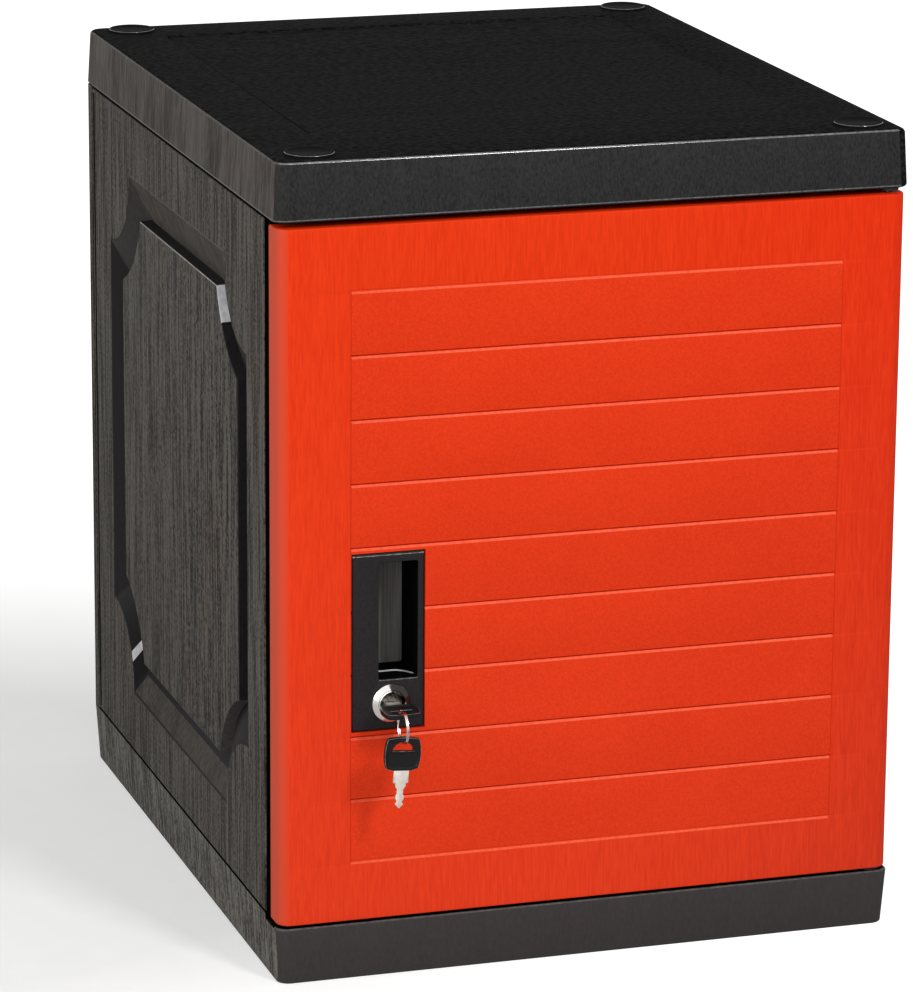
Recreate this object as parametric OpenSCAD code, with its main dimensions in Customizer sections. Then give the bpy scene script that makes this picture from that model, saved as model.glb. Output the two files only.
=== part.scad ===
// Lockable storage cabinet: a stackable moulded locker box with one hinged, plank-pattern door,
// a recessed pull, a cam lock with its key, and a spare key on a ring.
// Millimetres. Origin at the middle of the footprint on the floor, +Z up, the door faces -Y.

/* [Cabinet] */
// Overall width across the side panels
cabinet_w = 386; // [340:1:440]
// Overall depth from the door face to the back
cabinet_d = 457; // [420:1:520]
// Height of the lid's top face above the floor
cabinet_h = 492; // [460:1:600]
// Radius of the upright corners of the lid, base and back
corner_r = 7; // [6:0.5:12]

/* [Base and lid] */
// Height of the base up to the foot of the side panels
base_h = 38; // [34:0.5:46]
// How far the base draws in towards the floor on each side
base_taper = 2.2; // [1:0.1:4]
// Drop from the base's top to the sill under the door
sill_drop = 3.4; // [2.5:0.1:5]
// Height of the lid's skirt
lid_h = 35.5; // [32:0.5:45]
// How far the lid draws in towards its top on each side
lid_taper = 1.5; // [0.5:0.1:2.5]
// Chamfer around the lid's top
lid_edge = 2; // [0.6:0.1:2.5]
// Wall of the skirts of lid and base
skirt_t = 4; // [3:0.5:6]
// Thickness of the floor deck and of the lid's top
deck_t = 4; // [3:0.5:6]
// Width of the stiff rim that holds the panels
rim_w = 16; // [15:0.5:20]
// Depth of that rim
rim_h = 11; // [10:0.5:14]

/* [Lid tray] */
// Shallow tray in the lid: margin at each side
tray_side = 42; // [38:1:60]
// Margin at the front
tray_front = 67; // [45:1:90]
// Margin at the back
tray_back = 40; // [38:1:60]
// Depth of the tray
tray_depth = 1.2; // [0.6:0.1:2]
// Corner radius of the tray
tray_r = 10; // [4:1:20]

/* [Corner plugs] */
// Diameter of a plug's head
plug_d = 29; // [26:0.5:29]
// Height of a plug's head above the lid
plug_h = 2; // [1.5:0.1:3]
// Chamfer around a plug's head
plug_edge = 0.8; // [0.4:0.1:1.2]
// Plug centre to the side of the cabinet
plug_side_inset = 26; // [23:0.5:28]
// Plug centre to the front and to the back of the cabinet
plug_end_inset = 19.5; // [19.5:0.5:28]
// Diameter of a plug's stem
stem_d = 22; // [16:0.5:24]
// Length of a plug's stem
stem_l = 7; // [5:0.5:9]
// Depth of the stacking sockets under the base
socket_depth = 4; // [3.5:0.1:6]
// Room around a plug's head in a stacking socket
socket_gap = 0.4; // [0.2:0.1:0.8]
// Wall around a socket or a stem
boss_wall = 3; // [2:0.5:4]

/* [Panels] */
// Thickness of a side panel
panel_t = 14; // [13:0.5:18]
// Depth of the back panel's edge
back_t = 15; // [12:0.5:18]
// Thickness of the back panel's sheet
back_sheet_t = 4; // [3:0.5:6]
// Height of the back panel's top and bottom flanges
back_flange_h = 10; // [6:1:16]
// Thickness of the tongues along the panels' edges
tongue_t = 6; // [4:0.5:7]
// Height of those tongues
tongue_h = 8; // [5:0.5:9]
// Distance that a tongue stops short of its panel's ends
tongue_inset = 22; // [12:1:40]
// Gap between the closed door and the stop lip
stop_gap = 1; // [0.8:0.1:2]
// Depth of the stop lip behind the door
lip_l = 5.6; // [4:0.2:9]
// Distance of the lip behind the side panel's face
lip_setback = 3; // [2:0.5:5]

/* [Side recess] */
// Recess margin from the cabinet's front
recess_front = 62.4; // [50:0.2:80]
// Recess margin from the cabinet's back
recess_back = 63.8; // [50:0.2:80]
// Height of the recess's lower edge above the floor
recess_low = 78; // [68:0.5:95]
// Recess's upper edge below the lid's top
recess_high = 74.8; // [65:0.2:95]
// Radius of the round notches in the recess's corners
notch_r = 51; // [30:1:60]
// Width of the sloping channel inside the recess's edge
channel_w = 24.5; // [16:0.5:30]
// Depth of the channel at its inner wall
channel_depth = 9.2; // [6:0.2:10]
// Depth of the raised field inside the channel
field_depth = 1.5; // [0.5:0.1:3]

/* [Door] */
// Thickness of the door
door_t = 18; // [17:0.5:22]
// Gap between the door's edge and the side of the cabinet
door_side_gap = 1.6; // [0.5:0.1:3]
// Gap above the sill
door_bottom_gap = 2; // [1.9:0.1:3]
// Gap below the lid
door_top_gap = 3.3; // [2:0.1:5]
// Radius of the door's upright front edges
door_round = 8; // [5:0.5:8.5]
// Thickness of the door's front skin
skin_t = 3.2; // [2.8:0.1:4]
// Thickness of the door shell's rim
door_rim_t = 3.6; // [3:0.1:5]
// Thickness of the liner that closes the door's back
liner_t = 2.8; // [2:0.1:4]
// Thickness of the stiffening ribs
rib_t = 2; // [1.5:0.1:3]
// Cells between the ribs across the door
rib_columns = 8; // [6:1:10]
// Cells between the ribs up the door
rib_rows = 9; // [6:1:12]
// Diameter of the posts that take the liner's screws
post_d = 9; // [7:0.5:12]
// Post centre to the edge of the door's hollow
post_inset = 24; // [12:1:36]

/* [Planks] */
// Number of planks pressed into the door's face
plank_count = 9; // [5:1:12]
// Planks' left end from the door's left edge
plank_left = 43.9; // [25:0.1:60]
// Planks' right end from the door's right edge
plank_right = 39.6; // [25:0.1:60]
// First groove below the door's top
plank_top = 37.6; // [25:0.1:60]
// Last groove above the door's bottom
plank_bottom = 36.7; // [25:0.1:60]
// Width of a groove at the face
groove_w = 2.4; // [1.5:0.1:4]
// Depth of a groove
groove_depth = 1.2; // [0.6:0.1:1.6]
// Height of a groove's steep upper wall
groove_wall = 0.7; // [0.4:0.1:1.2]

/* [Hinge] */
// Diameter of the pivot pins
pin_d = 6; // [5:0.5:7]
// Length of a pin inside the door
pin_hold = 22; // [15:1:40]
// Length of a pin inside its bush
pin_reach = 7; // [5:0.5:8]
// Wall of a pivot bush
bush_wall = 2; // [1.5:0.1:2.5]
// Length of a bush in its seat
bush_l = 8.5; // [8.5:0.5:10]
// Thickness of the bush's collar
collar_t = 1.6; // [1:0.1:1.6]
// Width of the bush's collar beyond its body
collar_w = 1.5; // [1:0.1:2]

/* [Handle] */
// Handle plate from the door's left edge
plate_left = 43.8; // [35:0.1:60]
// Handle plate above the door's bottom
plate_low = 115.4; // [80:0.1:180]
// Width of the handle plate
plate_w = 44.7; // [42:0.1:60]
// Height of the handle plate
plate_h = 108; // [104:0.5:130]
// How far the plate sits below the door's face
plate_sink = 0.2; // [0:0.1:0.8]
// Finger pocket from the plate's left edge
pocket_left = 16.7; // [10:0.1:18]
// Finger pocket above the plate's bottom edge
pocket_low = 31; // [30.5:0.1:33]
// Width of the finger pocket
pocket_w = 23.7; // [18:0.1:24]
// Height of the finger pocket
pocket_h = 70.6; // [55:0.1:72]
// Depth of the finger pocket
pocket_depth = 33; // [24:0.5:36]
// Wall of the pocket's cup
cup_wall = 2; // [1.5:0.1:2.5]
// Width of the flange behind the door's skin
flange_w = 8; // [7:0.5:9]
// Thickness of that flange
flange_t = 2; // [1.5:0.1:3]
// Room around the cup and the lock in the liner
window_gap = 2; // [1:0.5:4]

/* [Lock] */
// Lock's axis from the plate's left edge
lock_left = 24; // [16:0.1:28]
// Lock's axis above the plate's bottom edge
lock_low = 16.7; // [14:0.1:17.5]
// Diameter of the lock's chromed head
head_d = 23; // [20:0.5:24]
// Height of the head above the plate
head_h = 4; // [3:0.1:5]
// Height of the head's upright edge
head_rim = 1.2; // [0.6:0.1:2]
// Diameter of the well in the head
well_d = 14.8; // [13:0.1:15.5]
// Width of the polished ring around the well
well_ring = 0.9; // [0.5:0.1:1.4]
// Height of the well's floor above the plate
well_floor = 1; // [0.5:0.1:1.6]
// Diameter of the threaded barrel
barrel_d = 16; // [14:0.5:16.5]
// Length of the barrel behind the plate's face
barrel_l = 24; // [20:0.5:26]
// Thickness of the washer under the nut
washer_t = 1; // [0.6:0.1:1.6]
// Width across the nut's flats
nut_flats = 20; // [19:0.5:21]
// Thickness of the nut
nut_t = 4.5; // [3:0.5:6]
// Diameter of the turning core
core_d = 11; // [10.5:0.1:12]
// Core's face above the well's floor
core_rise = 0.4; // [0:0.1:1]
// Diameter of the tail that carries the cam
tail_d = 8; // [7:0.5:9]
// Cam from the lock's axis to its tip
cam_reach = 44; // [42:0.5:46]
// Width of the cam
cam_w = 16; // [13:0.5:18]
// Thickness of the cam
cam_t = 2.5; // [2:0.1:3]
// Gap between the barrel's end and the cam
cam_gap = 0.5; // [0.3:0.1:1]
// Diameter of the cam bolt
bolt_d = 5; // [4:0.5:5]
// Length of the cam bolt under its head
bolt_l = 8; // [6:0.5:8]
// Width across the flats of the bolt's head
bolt_flats = 9; // [8:0.5:10]
// Height of the bolt's head
bolt_head_h = 3.5; // [2.5:0.5:5]
// Diameter of the bolt's pressed washer
bolt_washer_d = 13; // [11:0.5:15]
// Thickness of the bolt's pressed washer
bolt_washer_t = 1.2; // [0.8:0.1:2]

/* [Strike] */
// Thickness of the strike's plate
strike_t = 3; // [2:0.1:3.2]
// Reach of the strike from the side panel
strike_reach = 20; // [18:0.5:24]
// Height of the strike
strike_h = 26; // [20:1:40]
// Length of the strike's foot on the side panel
strike_foot = 26; // [20:1:36]

/* [Keys] */
// Width of a key's bow
bow_w = 22; // [20:0.5:26]
// Length of a key's bow
bow_l = 20.2; // [19:0.1:23]
// Thickness of a key's bow
bow_t = 3; // [2.8:0.1:3.2]
// Width of the bow at its corners
bow_end_w = 18.2; // [16:0.1:19]
// Width of the bow's neck
neck_w = 11; // [10:0.5:12]
// Height of the slant from the bow's corners to its neck
neck_slant = 1.6; // [1:0.1:2.5]
// Radius of the arch across the bow's top
arch_r = 40; // [30:1:60]
// Bar between the bow's hole and its top
bar_h = 2.8; // [2.2:0.1:3]
// Radius of the bow's half-moon hole
moon_r = 6.6; // [6:0.1:7]
// Height of the half-moon hole
moon_h = 5.6; // [5.4:0.1:5.8]
// Thickness of a key's blade
blade_t = 1.8; // [1.5:0.1:2]
// Width of the blade's shank
shank_w = 9; // [8:0.1:9.5]
// Length of the shank between bow and shoulder
shank_l = 7.5; // [6:0.1:9]
// Width of the tang inside the bow
tang_w = 8; // [6:0.1:9]
// Length of the tang inside the bow
tang_l = 10; // [6:0.5:10.5]
// Width of the notched bit at the shoulder
bit_w = 6.4; // [6.2:0.1:7.4]
// Length of the notched bit
bit_l = 15.5; // [13:0.1:16]
// Radius of the key ring at the middle of its wire
ring_r = 9.6; // [9.4:0.1:9.7]
// Radius of the key ring's wire
wire_r = 0.5; // [0.5:0.05:0.7]
// Ring's place along the bow's bar, off the lock's axis
ring_shift = -1.8; // [-1.8:0.1:1.8]
// Ring's middle in front of the bar's middle
ring_ahead = 3; // [2.9:0.05:3.1]
// Ring's middle below the bow's upper face
ring_below = 6.9; // [6.8:0.05:7]
// Gap between the ring and the spare key's bar
hang_gap = 0.5; // [0.4:0.05:0.7]
// Slant of the hanging spare key, in degrees
spare_tilt = 4; // [0:0.5:8]

/* [Screws] */
// Diameter of the small screws
screw_d = 3; // [2.5:0.1:3.5]
// Diameter of their pan heads
screw_head_d = 6; // [5:0.1:6.5]
// Height of their heads
screw_head_h = 2; // [1.5:0.1:2.5]
// Grip of a screw in thick plastic
screw_grip = 8; // [6:0.5:9]
// Grip of a screw in the door's skin
skin_grip = 1.8; // [1.2:0.1:2]
// Handle screw's distance from the plate's top and bottom
screw_end = 8; // [5:0.5:16]

/* [Fits] */
// Clearance of fixed parts that slot together
fit_gap = 0.1; // [0.05:0.05:0.2]
// Clearance of parts that are driven home
snug_gap = 0.02; // [0.01:0.01:0.04]
// Radial clearance of turning parts
run_gap = 0.05; // [0.03:0.01:0.1]
// Clearance of the key in its slot
key_gap = 0.3; // [0.3:0.05:0.4]

/* [Hidden] */
$fn = 64;
// Segments of the round corners in blended shapes
blend_fn = 32;
// Overshoot of cutting shapes past the faces that they cut
over = 1;
// Thickness of the slices that the tapered blocks are blended between
slice_t = 0.01;

// Colours
case_black = [0.17, 0.17, 0.17];
lid_black = [0.12, 0.12, 0.12];
door_red = [0.85, 0.2, 0.1];
handle_black = [0.14, 0.14, 0.15];
steel = [0.75, 0.75, 0.77];
chrome = [0.85, 0.85, 0.87];
core_grey = [0.45, 0.43, 0.41];
key_black = [0.1, 0.1, 0.11];
nylon_grey = [0.2, 0.2, 0.21];

// Planes of the case
left = -cabinet_w / 2;
right = cabinet_w / 2;
front = -cabinet_d / 2;
back = cabinet_d / 2;
panel_z0 = base_h;
panel_z1 = cabinet_h - lid_h;
sill_z = base_h - sill_drop;
panel_in = left + panel_t;
panel_back = back - back_t;
tongue_x = left + panel_t / 2;
tongue_y = back - back_t / 2;

// Planes of the door
door_l = left + door_side_gap;
door_r = right - door_side_gap;
door_z0 = sill_z + door_bottom_gap;
door_z1 = panel_z1 - door_top_gap;
door_back = front + door_t;
lip_front = door_back + stop_gap;
panel_front = lip_front + lip_l;
hinge_x = door_r - door_t / 2;
hinge_y = front + door_t / 2;
stile_x = hinge_x - door_t / 2;
hollow_x0 = door_l + door_rim_t;
hollow_z0 = door_z0 + door_rim_t;
hollow_z1 = door_z1 - door_rim_t;
skin_back = front + skin_t;
liner_front = door_back - liner_t;

// Handle and lock
plate_x0 = door_l + plate_left;
plate_x1 = plate_x0 + plate_w;
plate_z0 = door_z0 + plate_low;
plate_z1 = plate_z0 + plate_h;
plate_face = front + plate_sink;
pocket_x0 = plate_x0 + pocket_left;
pocket_x1 = pocket_x0 + pocket_w;
pocket_z0 = plate_z0 + pocket_low;
pocket_z1 = pocket_z0 + pocket_h;
pocket_back = plate_face + pocket_depth;
lock_x = plate_x0 + lock_left;
lock_z = plate_z0 + lock_low;
clamp_t = skin_back + flange_t - plate_face;
core_face = well_floor + core_rise;
cam_front = -barrel_l - cam_gap;
cam_back = cam_front - cam_t;
strike_y = plate_face + barrel_l;

// Keys and ring
shoulder_gap = key_gap;
shoulder_y = plate_face - core_face - shoulder_gap;
bow_top = shank_l + bow_l;
moon_top = bow_top - bar_h;
ring_x = lock_x + ring_shift;
ring_y = shoulder_y - bow_top + bar_h / 2 - ring_ahead;
ring_z = lock_z + bow_t / 2 - ring_below;
hang_z = ring_z - ring_r;
side_bulge = (bow_w - bow_end_w) / 2;
side_r = (bow_l * bow_l / 4 + side_bulge * side_bulge) / (2 * side_bulge);

// Half widths of the bit, each with its distance from the shoulder as a share of the bit's length
bit_notches = [
    [bit_w / 2, 0], [3.1, 0.13], [1.7, 0.28], [2.05, 0.36], [1.6, 0.43],
    [2.45, 0.5], [2.45, 0.63], [1.4, 0.74], [2.5, 0.83]
];

// Bushes and plugs
bush_d = pin_d + 2 * bush_wall;
plug_x = right - plug_side_inset;
plug_y = back - plug_end_inset;

module box(low, high) {
    translate(low)
        cube(high - low);
}

module rounded_rect(w, d, r) {
    square([w - 2 * r, d], center = true);
    square([w, d - 2 * r], center = true);
    for (x = [-1, 1], y = [-1, 1])
        translate([x * (w / 2 - r), y * (d / 2 - r)])
            circle(r);
}

module case_slice(z, inset) {
    translate([0, 0, z])
        linear_extrude(slice_t)
            rounded_rect(cabinet_w - 2 * inset, cabinet_d - 2 * inset, corner_r, $fn = blend_fn);
}

module at_plugs() {
    for (x = [-plug_x, plug_x], y = [-plug_y, plug_y])
        translate([x, y, 0])
            children();
}

module at_hinge(z) {
    translate([hinge_x, hinge_y, z])
        children();
}

// Turns a shape so that its +Z points out of the lock, towards the user
module at_lock() {
    translate([lock_x, plate_face, lock_z])
        rotate([90, 0, 0])
            children();
}

// Grooves in the lid's or base's rim for the tongues of the three panels
module panel_grooves(z0, z1) {
    half = tongue_t / 2 + fit_gap;
    reach_y0 = panel_front + tongue_inset - fit_gap;
    reach_y1 = panel_back - tongue_inset + fit_gap;
    reach_x = right - tongue_inset + fit_gap;
    for (s = [-1, 1])
        box([s * tongue_x - half, reach_y0, z0], [s * tongue_x + half, reach_y1, z1]);
    box([-reach_x, tongue_y - half, z0], [reach_x, tongue_y + half, z1]);
}

module base_block() {
    hull() {
        case_slice(0, base_taper);
        case_slice(base_h - slice_t, 0);
    }
}

module base_hollow() {
    wall = base_taper + skirt_t;
    box([left + wall, front + wall, -over], [right - wall, back - wall, base_h - rim_h]);
    box([left + rim_w, panel_front + skirt_t, 0], [right - rim_w, back - rim_w, base_h - deck_t]);
}

module base_plinth() {
    socket_d = plug_d + 2 * socket_gap;
    color(case_black)
        difference() {
            base_block();
            difference() {
                base_hollow();
                at_plugs()
                    cylinder(d = socket_d + 2 * boss_wall, h = base_h);
                at_hinge(sill_z - bush_l - boss_wall)
                    cylinder(d = bush_d + 2 * boss_wall, h = base_h);
            }
            box([left - over, front - over, sill_z], [right + over, panel_front, base_h + over]);
            panel_grooves(base_h - tongue_h - fit_gap, base_h + over);
            at_plugs()
                translate([0, 0, -over])
                    cylinder(d = socket_d, h = socket_depth + over);
            at_hinge(sill_z - bush_l)
                cylinder(d = bush_d + 2 * snug_gap, h = bush_l + over);
        }
}

module lid_block() {
    hull() {
        case_slice(panel_z1, 0);
        case_slice(cabinet_h - lid_edge, lid_taper);
        case_slice(cabinet_h - slice_t, lid_taper + lid_edge);
    }
}

module lid_hollow() {
    wall = lid_taper + skirt_t;
    box([left + rim_w, panel_front + skirt_t, panel_z1 - over],
        [right - rim_w, back - rim_w, panel_z1 + rim_h + over]);
    box([left + wall, front + wall, panel_z1 + rim_h],
        [right - wall, back - wall, cabinet_h - deck_t]);
}

module lid_tray() {
    tray_d = cabinet_d - tray_front - tray_back;
    translate([0, (tray_front - tray_back) / 2, cabinet_h - tray_depth])
        linear_extrude(tray_depth + over)
            rounded_rect(cabinet_w - 2 * tray_side, tray_d, tray_r);
}

module top_cap() {
    stem_seat = cabinet_h - stem_l - fit_gap;
    color(lid_black)
        difference() {
            lid_block();
            difference() {
                lid_hollow();
                at_plugs()
                    translate([0, 0, stem_seat - boss_wall])
                        cylinder(d = stem_d + 2 * boss_wall, h = stem_l + boss_wall);
                at_hinge(panel_z1)
                    cylinder(d = bush_d + 2 * boss_wall, h = bush_l + boss_wall);
            }
            panel_grooves(panel_z1 - over, panel_z1 + tongue_h + fit_gap);
            at_plugs()
                translate([0, 0, stem_seat])
                    cylinder(d = stem_d + 2 * snug_gap, h = stem_l + over);
            at_hinge(panel_z1 - over)
                cylinder(d = bush_d + 2 * snug_gap, h = bush_l + over);
            lid_tray();
        }
}

module corner_plugs() {
    head_r = plug_d / 2;
    color(lid_black)
        at_plugs()
            translate([0, 0, cabinet_h])
                rotate_extrude()
                    polygon([
                        [0, -stem_l], [stem_d / 2, -stem_l], [stem_d / 2, 0], [head_r, 0],
                        [head_r, plug_h - plug_edge], [head_r - plug_edge, plug_h], [0, plug_h]
                    ]);
}

// Outline of the side recess, in Y and Z, drawn in by an inset all round
module plaque(inset) {
    y0 = front + recess_front;
    y1 = back - recess_back;
    z1 = cabinet_h - recess_high;
    difference() {
        translate([y0 + inset, recess_low + inset])
            square([y1 - y0 - 2 * inset, z1 - recess_low - 2 * inset]);
        for (y = [y0, y1], z = [recess_low, z1])
            translate([y, z])
                circle(notch_r + inset);
    }
}

// Sloping sides of the channel, between two margins, as a profile across the panel's thickness
module channel_slope(from, to) {
    slope = channel_w / channel_depth;
    polygon([
        [left - over, from - over * slope], [left - over, to + over * slope],
        [left + channel_depth, to - channel_w], [left + channel_depth, from + channel_w]
    ]);
}

module side_recess() {
    y0 = front + recess_front;
    y1 = back - recess_back;
    z1 = cabinet_h - recess_high;
    slope = channel_w / channel_depth;
    difference() {
        intersection() {
            linear_extrude(cabinet_h)
                channel_slope(y0, y1);
            translate([0, back, 0])
                rotate([90, 0, 0])
                    linear_extrude(cabinet_d)
                        channel_slope(recess_low, z1);
        }
        for (y = [y0, y1], z = [recess_low, z1])
            translate([left - over, y, z])
                rotate([0, 90, 0])
                    cylinder(h = channel_depth + over, r1 = notch_r - over * slope, r2 = notch_r + channel_w);
        translate([left + field_depth, 0, 0])
            rotate([90, 0, 90])
                linear_extrude(channel_depth)
                    plaque(channel_w);
    }
}

// Side panel in its left-hand place
module side_panel() {
    half = tongue_t / 2;
    difference() {
        union() {
            box([left, panel_front, panel_z0], [panel_in, panel_back, panel_z1]);
            box([left + lip_setback, lip_front, panel_z0], [panel_in, panel_front, panel_z1]);
            box([tongue_x - half, panel_front + tongue_inset, panel_z0 - tongue_h],
                [tongue_x + half, panel_back - tongue_inset, panel_z1 + tongue_h]);
            box([tongue_x - half, panel_front + tongue_inset, panel_z0 + tongue_inset],
                [tongue_x + half, panel_back + tongue_h, panel_z1 - tongue_inset]);
        }
        side_recess();
    }
}

// Places of the strike's screws on the side panel
module at_strike_screws() {
    for (z = [-strike_h / 4, strike_h / 4])
        translate([panel_in + strike_t, strike_y + strike_foot / 2, lock_z + z])
            rotate([0, 90, 0])
                children();
}

module left_side_panel() {
    color(case_black)
        difference() {
            side_panel();
            at_strike_screws()
                screw_hole(strike_t + screw_grip);
        }
}

module right_side_panel() {
    color(case_black)
        mirror([1, 0, 0])
            side_panel();
}

module back_panel() {
    half = tongue_t / 2;
    slot = half + fit_gap;
    sheet_y = back - back_sheet_t;
    color(case_black)
        difference() {
            union() {
                translate([0, 0, panel_z0])
                    linear_extrude(panel_z1 - panel_z0)
                        intersection() {
                            rounded_rect(cabinet_w, cabinet_d, corner_r);
                            translate([left, panel_back])
                                square([cabinet_w, back_t]);
                        }
                box([left + tongue_inset, tongue_y - half, panel_z0 - tongue_h],
                    [right - tongue_inset, tongue_y + half, panel_z1 + tongue_h]);
            }
            box([panel_in, panel_back - over, panel_z0 + back_flange_h],
                [-panel_in, sheet_y, panel_z1 - back_flange_h]);
            for (s = [-1, 1])
                box([s * tongue_x - slot, panel_back - over, panel_z0 + tongue_inset - fit_gap],
                    [s * tongue_x + slot, panel_back + tongue_h + fit_gap, panel_z1 - tongue_inset + fit_gap]);
        }
}

// Collared bush with its collar on top, seated at z = 0
module hinge_bush() {
    color(nylon_grey)
        rotate_extrude()
            difference() {
                union() {
                    translate([0, -bush_l])
                        square([bush_d / 2, bush_l]);
                    square([bush_d / 2 + collar_w, collar_t]);
                }
                translate([0, -bush_l - over])
                    square([pin_d / 2 + run_gap, bush_l + collar_t + 2 * over]);
            }
}

module lower_hinge_bush() {
    at_hinge(sill_z)
        hinge_bush();
}

module upper_hinge_bush() {
    at_hinge(panel_z1)
        mirror([0, 0, 1])
            hinge_bush();
}

module lower_hinge_pin() {
    color(steel)
        at_hinge(sill_z - pin_reach)
            cylinder(d = pin_d, h = pin_reach + door_bottom_gap + pin_hold);
}

module upper_hinge_pin() {
    color(steel)
        at_hinge(door_z1 - pin_hold)
            cylinder(d = pin_d, h = pin_hold + door_top_gap + pin_reach);
}

// Pan-head screw, seated at z = 0 with its head up
module screw(length) {
    color(steel) {
        cylinder(d = screw_head_d, h = screw_head_h);
        translate([0, 0, -length])
            cylinder(d = screw_d, h = length);
    }
}

module screw_hole(length) {
    translate([0, 0, -length - fit_gap])
        cylinder(d = screw_d + 2 * snug_gap, h = length + fit_gap + over);
}

module strike_screws() {
    at_strike_screws()
        screw(strike_t + screw_grip);
}

module strike_plate() {
    z0 = lock_z - strike_h / 2;
    z1 = lock_z + strike_h / 2;
    color(steel)
        difference() {
            union() {
                box([panel_in, strike_y - strike_t, z0], [panel_in + strike_reach, strike_y, z1]);
                box([panel_in, strike_y - strike_t, z0],
                    [panel_in + strike_t, strike_y + strike_foot, z1]);
            }
            at_strike_screws()
                screw_hole(strike_t);
        }
}

// Plan of the door: rounded front edges, and a round edge about the hinge
module door_plan() {
    r = door_round;
    translate([door_l + r, front])
        square([door_r - r - door_l - r, door_t / 2]);
    translate([door_l + r, hinge_y])
        square([hinge_x - door_l - r, door_t / 2]);
    translate([door_l, front + r])
        square([r, door_t - r]);
    translate([hinge_x, front + r])
        square([door_t / 2, door_t / 2 - r]);
    translate([hinge_x, hinge_y])
        circle(door_t / 2);
    for (x = [door_l + r, door_r - r])
        translate([x, front + r])
            circle(r);
}

module door_ribs() {
    pitch_x = (stile_x - hollow_x0) / rib_columns;
    pitch_z = (hollow_z1 - hollow_z0) / rib_rows;
    half = rib_t / 2;
    bay = flange_w + window_gap;
    difference() {
        union() {
            for (i = [1 : rib_columns - 1])
                box([hollow_x0 + i * pitch_x - half, front, hollow_z0],
                    [hollow_x0 + i * pitch_x + half, liner_front, hollow_z1]);
            for (i = [1 : rib_rows - 1])
                box([hollow_x0, front, hollow_z0 + i * pitch_z - half],
                    [stile_x, liner_front, hollow_z0 + i * pitch_z + half]);
        }
        box([plate_x0 - bay, front - over, plate_z0 - bay], [plate_x1 + bay, door_back, plate_z1 + bay]);
    }
}

// Places of the liner's screws, on the liner's back
module at_liner_screws() {
    for (x = [hollow_x0 + post_inset, stile_x - post_inset], z = [hollow_z0 + post_inset, hollow_z1 - post_inset])
        translate([x, door_back, z])
            rotate([-90, 0, 0])
                children();
}

// Places of the handle's screws, on the back of its flange
module at_handle_screws() {
    for (x = [plate_x0 - flange_w / 2, plate_x1 + flange_w / 2], z = [plate_z0 + screw_end, plate_z1 - screw_end])
        translate([x, skin_back + flange_t, z])
            rotate([-90, 0, 0])
                children();
}

module plank_grooves() {
    z_top = door_z1 - plank_top;
    pitch = (z_top - door_z0 - plank_bottom) / plank_count;
    reach = 1 + over / groove_depth;
    lower = (groove_w - groove_wall) * reach;
    upper = groove_wall * reach;
    for (i = [0 : plank_count])
        translate([door_l + plank_left, front, z_top - i * pitch])
            rotate([90, 0, 90])
                linear_extrude(door_r - plank_right - door_l - plank_left)
                    polygon([[-over, -lower], [groove_depth, 0], [-over, upper]]);
}

module door_shell() {
    post_l = liner_front - front;
    color(door_red)
        difference() {
            translate([0, 0, door_z0])
                linear_extrude(door_z1 - door_z0)
                    door_plan();
            difference() {
                box([hollow_x0, skin_back, hollow_z0], [stile_x, door_back + over, hollow_z1]);
                door_ribs();
                at_liner_screws()
                    translate([0, 0, -liner_t - post_l])
                        cylinder(d = post_d, h = post_l);
            }
            plank_grooves();
            box([plate_x0, front - over, plate_z0], [plate_x1, skin_back + over, plate_z1]);
            at_liner_screws()
                screw_hole(liner_t + screw_grip);
            at_handle_screws()
                screw_hole(flange_t + skin_grip);
            at_hinge(door_z0 - over)
                cylinder(d = pin_d + 2 * snug_gap, h = pin_hold + over);
            at_hinge(door_z1 - pin_hold)
                cylinder(d = pin_d + 2 * snug_gap, h = pin_hold + over);
        }
}

module door_liner() {
    x0 = min(pocket_x0 - cup_wall, lock_x - barrel_d / 2) - window_gap;
    x1 = max(pocket_x1 + cup_wall, lock_x + barrel_d / 2) + window_gap;
    z0 = lock_z - barrel_d / 2 - window_gap;
    z1 = pocket_z1 + cup_wall + window_gap;
    color(door_red)
        difference() {
            box([hollow_x0 + fit_gap, liner_front, hollow_z0 + fit_gap],
                [stile_x - fit_gap, door_back, hollow_z1 - fit_gap]);
            box([x0, liner_front - over, z0], [x1, door_back + over, z1]);
            at_liner_screws()
                screw_hole(liner_t);
        }
}

module liner_screws() {
    at_liner_screws()
        screw(liner_t + screw_grip);
}

module handle_cup() {
    color(handle_black)
        difference() {
            union() {
                box([plate_x0 + fit_gap, plate_face, plate_z0 + fit_gap],
                    [plate_x1 - fit_gap, skin_back, plate_z1 - fit_gap]);
                box([plate_x0 - flange_w, skin_back, plate_z0 - flange_w],
                    [plate_x1 + flange_w, skin_back + flange_t, plate_z1 + flange_w]);
                box([pocket_x0 - cup_wall, skin_back, pocket_z0 - cup_wall],
                    [pocket_x1 + cup_wall, pocket_back + cup_wall, pocket_z1 + cup_wall]);
            }
            box([pocket_x0, plate_face - over, pocket_z0], [pocket_x1, pocket_back, pocket_z1]);
            at_lock()
                translate([0, 0, -clamp_t - over])
                    cylinder(d = barrel_d + 2 * fit_gap, h = clamp_t + 2 * over);
            at_handle_screws()
                screw_hole(flange_t);
        }
}

module handle_screws() {
    at_handle_screws()
        screw(flange_t + skin_grip);
}

module lock_body() {
    bore_r = core_d / 2 + run_gap;
    well_r = well_d / 2;
    color(chrome)
        at_lock()
            rotate_extrude()
                polygon([
                    [bore_r, -barrel_l], [barrel_d / 2, -barrel_l], [barrel_d / 2, 0], [head_d / 2, 0],
                    [head_d / 2, head_rim], [well_r + well_ring, head_h], [well_r, head_h],
                    [well_r, well_floor], [bore_r, well_floor]
                ]);
}

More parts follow.
